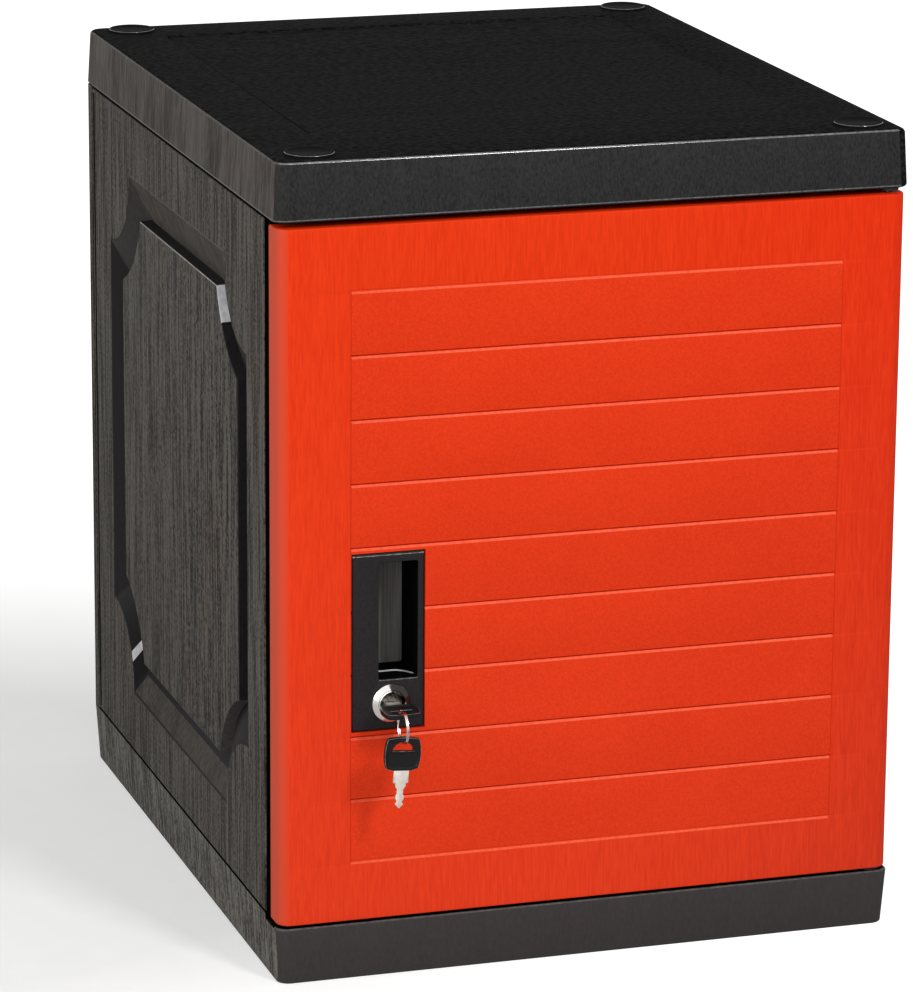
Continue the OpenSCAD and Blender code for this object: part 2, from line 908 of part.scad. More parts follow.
module lock_washer() {
    color(steel)
        at_lock()
            translate([0, 0, -clamp_t - washer_t])
                difference() {
                    cylinder(d = nut_flats + 1, h = washer_t);
                    translate([0, 0, -over])
                        cylinder(d = barrel_d + 2 * fit_gap, h = washer_t + 2 * over);
                }
}

module lock_nut() {
    color(steel)
        at_lock()
            translate([0, 0, -clamp_t - washer_t - nut_t])
                difference() {
                    rotate(30)
                        cylinder(d = nut_flats / cos(30), h = nut_t, $fn = 6);
                    translate([0, 0, -over])
                        cylinder(d = barrel_d + 2 * snug_gap, h = nut_t + 2 * over);
                }
}

module lock_core() {
    slot_w = bit_w / 2 + key_gap;
    slot_h = blade_t / 2 + key_gap;
    slot_end = core_face + shoulder_gap - bit_l - 2 * key_gap;
    color(core_grey)
        at_lock()
            difference() {
                union() {
                    translate([0, 0, cam_front])
                        cylinder(d = core_d, h = core_face - cam_front);
                    translate([0, 0, cam_back])
                        cylinder(d = tail_d, h = cam_t);
                }
                box([-slot_w, -slot_h, slot_end], [slot_w, slot_h, core_face + over]);
                translate([0, 0, cam_back - over])
                    cylinder(d = bolt_d + 2 * snug_gap, h = bolt_l + fit_gap + over);
            }
}

module lock_cam() {
    tip_r = cam_w / 2;
    color(steel)
        at_lock()
            translate([0, 0, cam_back])
                linear_extrude(cam_t)
                    difference() {
                        union() {
                            circle(tip_r);
                            translate([-tip_r, tip_r - cam_reach])
                                square([cam_w, cam_reach - tip_r]);
                            translate([0, tip_r - cam_reach])
                                circle(tip_r);
                        }
                        circle(d = tail_d + 2 * snug_gap);
                    }
}

module cam_bolt() {
    color(steel)
        at_lock()
            translate([0, 0, cam_back]) {
                cylinder(d = bolt_d, h = bolt_l);
                translate([0, 0, -bolt_washer_t])
                    cylinder(d = bolt_washer_d, h = bolt_washer_t);
                translate([0, 0, -bolt_washer_t - bolt_head_h])
                    cylinder(d = bolt_flats / cos(30), h = bolt_head_h + bolt_washer_t / 2, $fn = 6);
            }
}

// Key blade with its shoulder at the origin, its bit down -Y and its tang up +Y
module key_blade_solid() {
    edge = concat(
        [[tang_w / 2, shank_l + tang_l], [tang_w / 2, shank_l], [shank_w / 2, shank_l], [shank_w / 2, 0]],
        [for (n = bit_notches) [n[0], -n[1] * bit_l]]
    );
    last = len(edge) - 1;
    translate([0, 0, -blade_t / 2])
        linear_extrude(blade_t)
            polygon(concat(edge, [[0, -bit_l]], [for (i = [last : -1 : 0]) [-edge[i][0], edge[i][1]]]));
}

// Key bow in the blade's frame, with the half-moon hole for the ring
module key_bow_solid() {
    half = bow_w / 2;
    slot = [tang_w / 2 + snug_gap, tang_l + snug_gap, blade_t / 2 + snug_gap];
    difference() {
        translate([0, 0, -bow_t / 2])
            linear_extrude(bow_t)
                difference() {
                    intersection() {
                        for (s = [-1, 1])
                            intersection() {
                                translate([s * (side_r - half), shank_l + bow_l / 2])
                                    circle(side_r);
                                translate([-s * (side_r - half), shank_l + bow_l / 2])
                                    circle(side_r);
                            }
                        translate([0, bow_top - arch_r])
                            circle(arch_r);
                        polygon([
                            [-half, bow_top], [-half, shank_l + neck_slant], [-neck_w / 2, shank_l],
                            [neck_w / 2, shank_l], [half, shank_l + neck_slant], [half, bow_top]
                        ]);
                    }
                    intersection() {
                        translate([0, moon_top - moon_r])
                            circle(moon_r);
                        translate([-moon_r, moon_top - moon_h])
                            square([2 * moon_r, moon_h]);
                    }
                }
        box([-slot[0], shank_l - over, -slot[2]], [slot[0], shank_l + slot[1], slot[2]]);
    }
}

// The key in the lock lies flat, with its bit pointing into the cabinet
module in_lock() {
    translate([lock_x, shoulder_y, lock_z])
        rotate([0, 0, 180])
            children();
}

// The spare key hangs from the ring, a little aslant
module on_ring() {
    translate([ring_x, ring_y, hang_z])
        rotate([0, spare_tilt, 0])
            translate([0, 0, wire_r + hang_gap - moon_top])
                rotate([90, 0, 0])
                    children();
}

module key_blade() {
    color(steel)
        in_lock()
            key_blade_solid();
}

module key_bow() {
    color(key_black)
        in_lock()
            key_bow_solid();
}

// Two turns of wire, pressed side by side
module key_ring() {
    color(chrome)
        translate([ring_x, ring_y, ring_z])
            rotate([0, 90, 0])
                rotate_extrude()
                    for (s = [-1, 1])
                        translate([ring_r, s * (wire_r - fit_gap / 2)])
                            circle(wire_r);
}

module spare_key_blade() {
    color(steel)
        on_ring()
            key_blade_solid();
}

module spare_key_bow() {
    color(key_black)
        on_ring()
            key_bow_solid();
}

base_plinth();
left_side_panel();
right_side_panel();
back_panel();
top_cap();
corner_plugs();
lower_hinge_bush();
upper_hinge_bush();
strike_plate();
strike_screws();
door_shell();
door_liner();
liner_screws();
lower_hinge_pin();
upper_hinge_pin();
handle_cup();
handle_screws();
lock_body();
lock_washer();
lock_nut();
lock_core();
lock_cam();
cam_bolt();
key_blade();
key_bow();
key_ring();
spare_key_blade();
spare_key_bow();
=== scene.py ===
"""Dresses the lockable storage cabinet: a black moulded locker with a red plank-pattern door.

The CAD nodes stay where their plain shape is right and get a procedural finish. The lid, plugs, base,
side panels, door, handle, lock head, ring and keys are built here, with the rounded edges and pressed
detail of the real ones.
"""

import logging
import math
from collections.abc import Callable, Sequence
from dataclasses import dataclass
from enum import Enum, IntEnum

import bmesh
import bpy
from mathutils import Matrix, Vector


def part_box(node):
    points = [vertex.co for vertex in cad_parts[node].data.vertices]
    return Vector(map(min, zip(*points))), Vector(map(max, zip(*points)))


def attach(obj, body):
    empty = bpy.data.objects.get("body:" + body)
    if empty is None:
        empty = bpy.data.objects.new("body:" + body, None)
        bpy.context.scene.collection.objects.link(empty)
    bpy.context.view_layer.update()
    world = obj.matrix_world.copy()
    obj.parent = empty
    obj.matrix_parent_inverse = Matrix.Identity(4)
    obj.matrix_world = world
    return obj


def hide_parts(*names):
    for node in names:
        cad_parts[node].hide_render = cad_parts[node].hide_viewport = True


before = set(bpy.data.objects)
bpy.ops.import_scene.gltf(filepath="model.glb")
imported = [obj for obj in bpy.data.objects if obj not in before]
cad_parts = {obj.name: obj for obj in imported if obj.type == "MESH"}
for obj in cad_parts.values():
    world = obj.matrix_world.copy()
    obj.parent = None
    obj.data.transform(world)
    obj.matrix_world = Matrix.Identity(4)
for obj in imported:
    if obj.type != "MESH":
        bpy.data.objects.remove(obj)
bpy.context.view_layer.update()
LOG = logging.getLogger("cabinet")
MM = 0.001
HAIR = 0.01 * MM

Colour = tuple[float, float, float]
Place = tuple[float, float, float]
Span = tuple[float, float]
Loop = list[Vector]
Socket = bpy.types.NodeSocket
Material = bpy.types.Material


def srgb(red: int, green: int, blue: int) -> Colour:
    """Turns a colour on a screen, from 0 to 255, into the linear colour that shaders take."""
    shares = (red / 255, green / 255, blue / 255)
    return tuple(s / 12.92 if s <= 0.04045 else ((s + 0.055) / 1.055) ** 2.4 for s in shares)


def within(value: float, span: Span) -> bool:
    """Says whether a value lies between the two ends of a span."""
    return span[0] < value < span[1]


class Grain(Enum):
    """The direction that a moulded grain runs in."""

    ALONG_X = 0
    ALONG_Z = 2


class Side(Enum):
    """The side of the cabinet that a panel stands on."""

    LEFT = -1
    RIGHT = 1


class PanelFace(IntEnum):
    """The finishes of a side panel, in the order of its material slots."""

    GRAIN = 0
    SMOOTH = 1
    BLACK = 2
    WORN = 3
    GLINT = 4
    SLOPE = 5
    SHADE = 6
    WALL = 7
    SOFT = 8
    LIT = 9


class CaseFace(IntEnum):
    """The finishes of the lid and the base, in the order of their material slots."""

    FLAT = 0
    FRONT = 1
    SIDE = 2
    EDGE = 3
    LINE = 4
    GROOVE = 5


class DoorFace(IntEnum):
    """The finishes of the door, in the order of its material slots."""

    FRAME = 0
    PLANK = 1
    LIGHT = 2
    DARK = 3
    SEAM = 4
    ROUND = 5


class HandleFace(IntEnum):
    """The finishes of the handle plate, in the order of its material slots."""

    PLATE = 0
    BACK = 1
    WALL = 2
    RIDGE = 3
    LINE = 4


class Graph:
    """One material and the nodes that feed its shader."""

    def __init__(self, name: str) -> None:
        """Makes an empty material with a shader joined to its output.

        Args:
            name: The material's name.
        """
        self.material = bpy.data.materials.new(name)
        self.material.use_nodes = True
        self.tree = self.material.node_tree
        self.tree.nodes.clear()
        self.shader = self.add("ShaderNodeBsdfPrincipled")
        self.feed(self.add("ShaderNodeOutputMaterial"), Surface=self.shader.outputs["BSDF"])
        self.place = self.node("ShaderNodeTexCoord", "Object")

    def add(self, kind: str) -> bpy.types.Node:
        """Adds a node of a kind."""
        return self.tree.nodes.new(kind)

    def feed(self, node: bpy.types.Node, **inputs: float | Sequence[float] | Socket) -> None:
        """Sets a node's inputs to constants or joins them to other nodes.

        Args:
            node: The node.
            inputs: Names of its inputs, with underscores for spaces, and what each one takes.
        """
        for name, value in inputs.items():
            socket = node.inputs[name.replace("_", " ")]
            if isinstance(value, Socket):
                self.tree.links.new(value, socket)
            else:
                socket.default_value = value

    def node(self, kind: str, output: str, **inputs: float | Sequence[float] | Socket) -> Socket:
        """Adds a node with its inputs.

        Args:
            kind: The node's kind.
            output: Name of the output that is wanted.
            inputs: Names of its inputs and what each one takes.

        Returns:
            The output.
        """
        node = self.add(kind)
        self.feed(node, **inputs)
        return node.outputs[output]

    def noise(self, cells: Sequence[float], detail: float = 3.0, octave: float = 0.6) -> Socket:
        """Gives a noise's height, for cells per metre on each axis and the share that each octave keeps."""
        at = self.node("ShaderNodeMapping", "Vector", Vector=self.place, Scale=tuple(cells))
        return self.node("ShaderNodeTexNoise", "Fac", Vector=at, Scale=1.0, Detail=detail, Roughness=octave)

    def mix_heights(self, first: Socket, second: Socket, share: float) -> Socket:
        """Blends a share of a second height into a first."""
        return self.node("ShaderNodeMix", "Result", Factor=share, A=first, B=second)

    def fade(self, axis: str, reach: Span) -> Socket:
        """Gives a height that climbs from 0 to 1 over a stretch of an axis."""
        at = self.node("ShaderNodeSeparateXYZ", axis, Vector=self.place)
        return self.node("ShaderNodeMapRange", "Result", Value=at, From_Min=reach[0], From_Max=reach[1])

    def spread(self, height: Socket, low: float, high: float) -> Socket:
        """Maps a height from 0 to 1 onto a range."""
        return self.node("ShaderNodeMapRange", "Result", Value=height, To_Min=low, To_Max=high)

    def press(self, height: Socket, depth: float, strength: float) -> Socket:
        """Presses a height into the surface and gives the bent normal."""
        return self.node("ShaderNodeBump", "Normal", Height=height, Distance=depth, Strength=strength)

    def ramp(self, height: Socket, reach: Span, first: Colour, last: Colour) -> Socket:
        """Colours a height.

        Args:
            height: The height.
            reach: Where the first colour ends and the last one starts.
            first: The first colour.
            last: The last colour.

        Returns:
            The colour.
        """
        node = self.add("ShaderNodeValToRGB")
        for element, at, colour in zip(node.color_ramp.elements, reach, (first, last)):
            element.position = at
            element.color = (*colour, 1.0)
        self.feed(node, Fac=height)
        return node.outputs["Color"]

    def tint(self, colour: Socket, hue: Socket, share: float | Socket) -> Socket:
        """Mixes a second colour into a first.

        Args:
            colour: The first colour.
            hue: The second colour.
            share: Share of the second, from 0 to 1, as a number or from a node.

        Returns:
            The mixed colour.
        """
        node = self.add("ShaderNodeMix")
        node.data_type = "RGBA"
        self.feed(node, Factor=share)
        # The mix node has an A, a B and a result for each kind of value, so colours go by place.
        first, second, result = node.inputs[6], node.inputs[7], node.outputs[2]
        self.tree.links.new(colour, first)
        self.tree.links.new(hue, second)
        return result


@dataclass(frozen=True)
class Dusk:
    """A fall of light over a face, whose hue changes with height and, over a stretch of X, to the right."""

    climb: Span
    reach: Span
    foot: Colour
    head: Colour


@dataclass(frozen=True)
class GrainFinish:
    """Moulded plastic with a pressed grain: fine streaks with wider streaks or a speckle over them."""

    name: str
    dark: Colour
    light: Colour
    warm: Colour
    cool: Colour
    grain: Grain = Grain.ALONG_Z
    fine_across: float = 520.0
    fine_along: float = 45.0
    fine_octave: float = 0.6
    over_across: float = 70.0
    over_along: float = 3.0
    over_share: float = 0.25
    hue_share: float = 0.35
    hue_stops: Span = (0.42, 0.58)
    dusk: Dusk | None = None
    contrast: Span = (0.36, 0.64)
    relief: float = 0.12 * MM
    relief_strength: float = 0.5
    roughness: Span = (0.5, 0.7)
    gloss: float = 0.3

    def streaks(self, across: float, along: float) -> list[float]:
        """Gives cells per metre on each axis for streaks along the grain."""
        return [along if axis == self.grain.value else across for axis in range(3)]

    def hue(self, graph: Graph) -> Socket:
        """Gives the hue that is mixed into the grain.

        Args:
            graph: The material under construction.

        Returns:
            A hue in streaks, or one that follows the dusk.
        """
        if self.dusk is None:
            streaks = graph.noise(self.streaks(self.fine_across / 2, self.fine_along / 2), detail=2.0)
            return graph.ramp(streaks, self.hue_stops, self.warm, self.cool)
        rise = graph.fade("Z", self.dusk.climb)
        near = graph.ramp(rise, (0.0, 1.0), self.cool, self.warm)
        far = graph.ramp(rise, (0.0, 1.0), self.dusk.foot, self.dusk.head)
        return graph.tint(near, far, graph.fade("X", self.dusk.reach))

    def build(self) -> Material:
        """Makes the material.

        Returns:
            The finished material.
        """
        graph = Graph(self.name)
        fine_cells = self.streaks(self.fine_across, self.fine_along)
        fine = graph.noise(fine_cells, detail=6.0, octave=self.fine_octave)
        over = graph.noise(self.streaks(self.over_across, self.over_along), detail=2.0)
        blend = graph.mix_heights(fine, over, self.over_share)
        colour = graph.ramp(blend, self.contrast, self.dark, self.light)
        graph.feed(
            graph.shader, Base_Color=graph.tint(colour, self.hue(graph), self.hue_share),
            Roughness=graph.spread(fine, *self.roughness), Specular_IOR_Level=self.gloss,
            Normal=graph.press(blend, self.relief, self.relief_strength))
        return graph.material


@dataclass(frozen=True)
class LinedFinish(GrainFinish):
    """Moulded plastic with long thin grain lines and a fine speckle over them."""

    fine_along: float = 14.0
    fine_octave: float = 0.66
    over_across: float = 420.0
    over_along: float = 420.0
    over_share: float = 0.3
    contrast: Span = (0.45, 0.55)
    gloss: float = 0.06


@dataclass(frozen=True)
class SandFinish:
    """Moulded plastic with a fine, even, leathery texture."""

    name: str
    dark: Colour
    light: Colour
    cell: float = 1.1 * MM
    contrast: Span = (0.3, 0.7)
    cloud_cells: float = 30.0
    cloud_share: float = 0.15
    relief: float = 0.1 * MM
    relief_strength: float = 0.45
    roughness: Span = (0.5, 0.65)
    gloss: float = 0.3

    def build(self) -> Material:
        """Makes the material.

        Returns:
            The finished material.
        """
        graph = Graph(self.name)
        leather = graph.noise((1 / self.cell,) * 3, detail=2.0, octave=0.5)
        clouds = graph.noise((self.cloud_cells,) * 3, detail=2.0)
        blend = graph.mix_heights(leather, clouds, self.cloud_share)
        graph.feed(
            graph.shader, Base_Color=graph.ramp(blend, self.contrast, self.dark, self.light),
            Roughness=graph.spread(leather, *self.roughness), Specular_IOR_Level=self.gloss,
            Normal=graph.press(leather, self.relief, self.relief_strength))
        return graph.material


@dataclass(frozen=True)
class SmoothFinish(SandFinish):
    """Moulded plastic that is nearly smooth and changes its tone in soft patches."""

    cell: float = 3 * MM
    relief_strength: float = 0.1


@dataclass(frozen=True)
class MetalFinish:
    """Metal with a slight waviness, streaked along one axis."""

    name: str
    dark: Colour
    light: Colour
    cells: tuple[float, float, float]
    relief: float
    roughness: Span
    contrast: Span = (0.3, 0.7)
    detail: float = 3.0
    relief_strength: float = 0.3

    def build(self) -> Material:
        """Makes the material.

        Returns:
            The finished material.
        """
        graph = Graph(self.name)
        wear = graph.noise(self.cells, detail=self.detail)
        graph.feed(
            graph.shader, Base_Color=graph.ramp(wear, self.contrast, self.dark, self.light),
            Roughness=graph.spread(wear, *self.roughness), Metallic=1.0,
            Normal=graph.press(wear, self.relief, self.relief_strength))
        return graph.material


@dataclass(frozen=True)
class FadeFinish:
    """Moulded plastic whose colour fades along X, as the sheen on a rounded edge does."""

    name: str
    edge: Colour
    inner: Colour
    reach: Span
    sand_cells: float = 900.0
    sand_share: float = 0.06
    relief: float = 0.05 * MM
    relief_strength: float = 0.1
    roughness: Span = (0.5, 0.65)
    gloss: float = 0.12

    def build(self) -> Material:
        """Makes the material.

        Returns:
            The finished material.
        """
        graph = Graph(self.name)
        sand = graph.noise((self.sand_cells,) * 3, detail=2.0)
        blend = graph.mix_heights(graph.fade("X", self.reach), sand, self.sand_share)
        graph.feed(
            graph.shader, Base_Color=graph.ramp(blend, (0.0, 1.0), self.edge, self.inner),
            Roughness=graph.spread(sand, *self.roughness), Specular_IOR_Level=self.gloss,
            Normal=graph.press(sand, self.relief, self.relief_strength))
        return graph.material


class Finishes:
    """Every finish in the scene, each made once."""

    def __init__(self) -> None:
        """Builds the materials."""
        self.panel = LinedFinish(
            "panel_grain", srgb(10, 8, 7), srgb(110, 104, 98), srgb(72, 64, 57), srgb(55, 60, 60)).build()
        self.slope = GrainFinish(
            "slope_grain", srgb(30, 27, 25), srgb(96, 90, 84), srgb(68, 62, 57), srgb(56, 56, 54),
            gloss=0.04).build()
        # Smooth plastic painted dark as shade: the recess's rear and front slopes and rims, the inner band of
        # its lower slope along the raised field, and the field's front wall.
        self.channel = SmoothFinish(
            "channel_smooth", srgb(25, 22, 23), srgb(34, 30, 31), cell=4 * MM, roughness=(0.45, 0.55),
            gloss=0.05).build()
        self.notch_wall = SmoothFinish(
            "notch_wall_smooth", srgb(48, 44, 44), srgb(58, 54, 54), cell=4 * MM, roughness=(0.45, 0.55),
            gloss=0.05).build()
        self.notch_lit = SmoothFinish(
            "notch_lit", srgb(68, 62, 62), srgb(80, 74, 74), cell=4 * MM, gloss=0.02).build()
        # Painted shade: near black on the recess's walls, in its low rear corner and along its lower rim,
        # where shade falls.
        self.black = SmoothFinish(
            "wall_black", srgb(12, 11, 11), srgb(20, 18, 18), cell=4 * MM, roughness=(0.3, 0.4),
            gloss=0.06).build()
        self.shade = SandFinish(
            "gap_shade", srgb(5, 5, 5), srgb(9, 8, 8), roughness=(0.7, 0.8), gloss=0.02).build()
        # Painted highlight: a pale broken line laid on rounded edges where light would catch them, on the
        # recess's crest, the handle plate and the key bows.
        self.worn = SmoothFinish(
            "edge_worn", srgb(70, 68, 66), srgb(176, 174, 170), cell=2.2 * MM, roughness=(0.3, 0.4)).build()
        self.glint = SmoothFinish(
            "edge_glint", srgb(172, 171, 172), srgb(208, 208, 210), cell=5 * MM, relief_strength=0.05,
            roughness=(0.3, 0.4)).build()
        self.lid_top = GrainFinish(
            "lid_top_grain", srgb(4, 4, 4), srgb(46, 46, 45), srgb(24, 23, 23), srgb(20, 21, 21),
            Grain.ALONG_X, fine_across=480.0, fine_along=240.0, over_share=0.1, contrast=(0.4, 0.6),
            roughness=(0.7, 0.85), gloss=0.005).build()
        self.lid_front = GrainFinish(
            "lid_front_grain", srgb(20, 20, 20), srgb(60, 60, 60), srgb(40, 39, 39), srgb(37, 38, 38),
            fine_across=900.0, fine_along=360.0, fine_octave=0.75, over_share=0.1, gloss=0.08).build()
        self.lid_side = GrainFinish(
            "lid_side_grain", srgb(34, 31, 30), srgb(106, 100, 96), srgb(74, 67, 64), srgb(60, 59, 58),
            fine_along=40.0, fine_octave=0.72, over_across=60.0, over_share=0.3, contrast=(0.42, 0.58),
            gloss=0.06).build()
        # Painted highlight: a faint pale line on the lid's left top edge, the sill's front edge and the
        # recess's upper rim.
        self.soft_line = SmoothFinish(
            "edge_soft", srgb(70, 68, 66), srgb(100, 98, 95), gloss=0.05).build()
        # Painted shade: a ragged dark line on the tray's sloping left edge.
        self.lid_groove = SmoothFinish(
            "lid_tray_groove", srgb(2, 2, 2), srgb(34, 34, 34), cell=6 * MM, gloss=0.0).build()
        # Glossy edge plastic, painted lighter than the lid as a painted highlight, on the lid's front and
        # foot edges and on the plug rims.
        self.lid_edge = SmoothFinish(
            "lid_edge_worn", srgb(50, 50, 50), srgb(110, 110, 110), cell=2 * MM, roughness=(0.12, 0.22),
            gloss=1.0).build()
        self.base_front = GrainFinish(
            "base_front_grain", srgb(48, 45, 45), srgb(62, 58, 58), srgb(56, 52, 52), srgb(53, 50, 50),
            fine_across=800.0, fine_along=250.0, over_share=0.2, relief_strength=0.3, gloss=0.2).build()
        self.base_side = LinedFinish(
            "base_side_grain", srgb(26, 24, 22), srgb(134, 129, 122), srgb(86, 81, 76),
            srgb(77, 79, 79)).build()
        door_low, door_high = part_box("door_shell")
        # Painted light: the door's hue runs to a more saturated orange towards the top and, across the right
        # half, darker, most near the foot.
        door_head, door_foot = srgb(234, 52, 0), srgb(228, 63, 34)
        door_dusk = Dusk(
            climb=(door_low.z, door_high.z), reach=(0.0, door_high.x), foot=srgb(200, 54, 34),
            head=srgb(232, 40, 0))
        self.door_frame = GrainFinish(
            "door_frame_grain", srgb(215, 44, 4), srgb(240, 65, 17), door_head, door_foot,
            fine_across=900.0, fine_along=70.0, over_across=60.0, over_along=12.0, over_share=0.12,
            hue_share=0.5, dusk=door_dusk, relief_strength=0.3, roughness=(0.5, 0.65), gloss=0.12).build()
        self.planks = GrainFinish(
            "door_plank_sand", srgb(217, 49, 12), srgb(235, 62, 19), door_head, door_foot,
            fine_across=1000.0, fine_along=1000.0, fine_octave=0.5, over_across=24.0, over_along=24.0,
            over_share=0.2, hue_share=0.25, dusk=door_dusk, relief=0.1 * MM, relief_strength=0.3,
            roughness=(0.5, 0.65), gloss=0.12).build()
        # Painted sheen: pale pink on the door's rounded free edge, fading into the red.
        self.door_round = FadeFinish(
            "door_round_sheen", srgb(204, 80, 56), srgb(229, 56, 16),
            (door_low.x, door_low.x + Door.edge_r)).build()
        # Painted light on the upward lower wall of each plank groove, and painted shade in the groove's floor
        # and upper wall.
        self.groove_light = SmoothFinish(
            "door_groove_light", srgb(238, 80, 46), srgb(250, 100, 64), gloss=0.2).build()
        self.groove_dark = SmoothFinish(
            "door_groove_dark", srgb(172, 26, 2), srgb(194, 34, 5), gloss=0.05).build()
        self.plank_seam = SmoothFinish(
            "door_plank_seam", srgb(206, 45, 11), srgb(214, 50, 15), gloss=0.05).build()
        self.liner = SmoothFinish(
            "door_liner_smooth", srgb(206, 48, 22), srgb(224, 58, 30), relief_strength=0.15).build()
        self.handle = SmoothFinish(
            "handle_satin", srgb(32, 29, 31), srgb(42, 38, 40), cell=1.6 * MM, relief_strength=0.08,
            gloss=0.12).build()
        self.pocket = GrainFinish(
            "pocket_grain", srgb(64, 60, 58), srgb(126, 121, 117), srgb(100, 96, 93), srgb(92, 90, 88),
            fine_across=700.0, fine_along=20.0, gloss=0.1).build()
        self.plug = SmoothFinish(
            "plug_satin", srgb(14, 14, 14), srgb(26, 26, 26), cell=1.5 * MM, relief_strength=0.15,
            roughness=(0.6, 0.75), gloss=0.01).build()
        self.key_plastic = SmoothFinish(
            "key_bow_plastic", srgb(18, 18, 18), srgb(28, 28, 28), cell=0.8 * MM, relief_strength=0.15,
            roughness=(0.25, 0.35), gloss=0.2).build()
        self.nylon = SmoothFinish(
            "bush_nylon", srgb(28, 28, 29), srgb(40, 40, 42), cell=2 * MM).build()
        self.chrome = MetalFinish(
            "chrome_polished", srgb(206, 204, 202), srgb(232, 230, 228), (300.0, 300.0, 300.0), 0.02 * MM,
            (0.06, 0.14)).build()
        # Painted reflections: broad dark and bright bands in the chrome's colour stand in for the
        # surroundings it would mirror.
        self.lock_chrome = MetalFinish(
            "chrome_painted_reflections", srgb(62, 59, 56), srgb(244, 242, 238), (95.0, 60.0, 95.0), 0.02 * MM,
            (0.12, 0.2), contrast=(0.4, 0.5), detail=1.0).build()
        self.dark_chrome = MetalFinish(
            "chrome_dark", srgb(30, 28, 26), srgb(126, 122, 118), (420.0, 420.0, 420.0), 0.03 * MM,
            (0.1, 0.2)).build()
        self.steel = MetalFinish(
            "steel_plain", srgb(176, 176, 178), srgb(214, 214, 214), (1500.0, 1500.0, 120.0), 0.03 * MM,
            (0.25, 0.42)).build()
        self.blade = MetalFinish(
            "key_blade_nickel", srgb(232, 226, 215), srgb(252, 247, 238), (900.0, 900.0, 300.0), 0.04 * MM,
            (0.35, 0.5)).build()
        self.core = MetalFinish(
            "lock_core_metal", srgb(44, 43, 41), srgb(104, 101, 96), (500.0, 500.0, 500.0), 0.03 * MM,
            (0.2, 0.35)).build()


class Shell:
    """A mesh under construction, made of loops of points that are joined into skins."""

    def __init__(self) -> None:
        """Starts an empty mesh."""
        self.mesh = bmesh.new()

    def loft(self, loops: Sequence[Loop], slots: Sequence[int | Sequence[int]] | None = None,
             closed: bool = False) -> None:
        """Joins loops of equal length in order.

        Args:
            loops: The loops, from one end to the other.
            slots: Material slots of the first cap, of each band and of the last cap, where a band may have
                one for each face. All 0 if left out.
            closed: Joins the last loop to the first. The two ends get caps otherwise.
        """
        slots = slots or [0] * (len(loops) + 1)
        rings = [[self.mesh.verts.new(p) for p in loop] for loop in loops]
        if closed:
            rings.append(rings[0])
        else:
            self.mesh.faces.new(rings[0]).material_index = slots[0]
            self.mesh.faces.new(rings[-1]).material_index = slots[-1]
        count = len(rings[0])
        for low, high, slot in zip(rings, rings[1:], slots[1:]):
            for i in range(count):
                j = (i + 1) % count
                face = self.mesh.faces.new((low[i], low[j], high[j], high[i]))
                face.material_index = slot if isinstance(slot, int) else slot[i]

    def paint(self, choose: Callable[[Vector, Vector], int]) -> None:
        """Picks each face's material slot by where the face looks and lies.

        Args:
            choose: Takes a face's normal and its centre and gives its slot.
        """
        bmesh.ops.recalc_face_normals(self.mesh, faces=self.mesh.faces[:])
        for face in self.mesh.faces:
            face.material_index = choose(face.normal, face.calc_center_median())

    def finish(self, name: str, body: str, materials: Sequence[Material],
               replaced: Sequence[str], sharp_deg: float = 40.0) -> None:
        """Turns the mesh into a piece that rides on a body.

        Args:
            name: The piece's name.
            body: The CAD body that carries it.
            materials: Materials in the order of the faces' slots.
            replaced: CAD nodes that the piece stands for.
            sharp_deg: Edges sharper than this stay sharp.
        """
        bmesh.ops.recalc_face_normals(self.mesh, faces=self.mesh.faces[:])
        data = bpy.data.meshes.new(name)
        self.mesh.to_mesh(data)
        self.mesh.free()
        data.shade_smooth()
        data.set_sharp_from_angle(angle=math.radians(sharp_deg))
        for material in materials:
            data.materials.append(material)
        piece = bpy.data.objects.new(name, data)
        bpy.context.scene.collection.objects.link(piece)
        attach(piece, body)
        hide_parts(*replaced)
        LOG.info("%s: %d faces", name, len(data.polygons))


@dataclass(frozen=True)
class Ring:
    """A rounded rectangle that lies flat at one height."""

    x0: float
    x1: float
    y0: float
    y1: float
    z: float
    radius: float

    def points(self, steps: int = 8) -> Loop:
        """Gives the ring's points, in order.

        Args:
            steps: Segments in each corner.

        Returns:
            The points.
        """
        r = self.radius
        centres = (
            (self.x1 - r, self.y1 - r), (self.x0 + r, self.y1 - r),
            (self.x0 + r, self.y0 + r), (self.x1 - r, self.y0 + r),
        )
        loop = []
        for quarter, (x, y) in enumerate(centres):
            for i in range(steps + 1):
                angle = math.pi / 2 * (quarter + i / steps)
                loop.append(Vector((x + r * math.cos(angle), y + r * math.sin(angle), self.z)))
        return loop


def inset_ring(low: Vector, high: Vector, inset: float, z: float, radius: float) -> Loop:
    """Gives a rounded rectangle at a height, drawn in from the sides of a box."""
    return Ring(low.x + inset, high.x - inset, low.y + inset, high.y - inset, z, radius).points()


def quarter_round(radius: float, steps: int = 4) -> list[tuple[float, float]]:
    """Gives a rounded edge as pairs of inset and rise, from the upright wall to the flat face."""
    angles = [math.pi / 2 * i / steps for i in range(steps + 1)]
    return [(radius * (1 - math.cos(a)), radius * math.sin(a)) for a in angles]


def spokes(count: int) -> list[tuple[float, float]]:
    """Gives equally spaced ways out from a circle's middle."""
    turns = (2 * math.pi * i / count for i in range(count))
    return [(math.cos(a), math.sin(a)) for a in turns]


def case_face(normal: Vector) -> CaseFace:
    """Picks a finish for a face of the lid or base by where the face looks.

    Args:
        normal: Where the face looks.

    Returns:
        The finish.
    """
    flat_from, front_from, rear_from, right_corner_from = 0.7, 0.3, 0.93, 0.05
    if abs(normal.z) > flat_from:
        return CaseFace.FLAT
    # Facets of the front right-hand corners take the darker front finish, as painted shade.
    right_corner = normal.x > 0 and normal.y < -right_corner_from
    front = normal.y < -front_from or normal.y > rear_from
    return CaseFace.FRONT if front or right_corner else CaseFace.SIDE


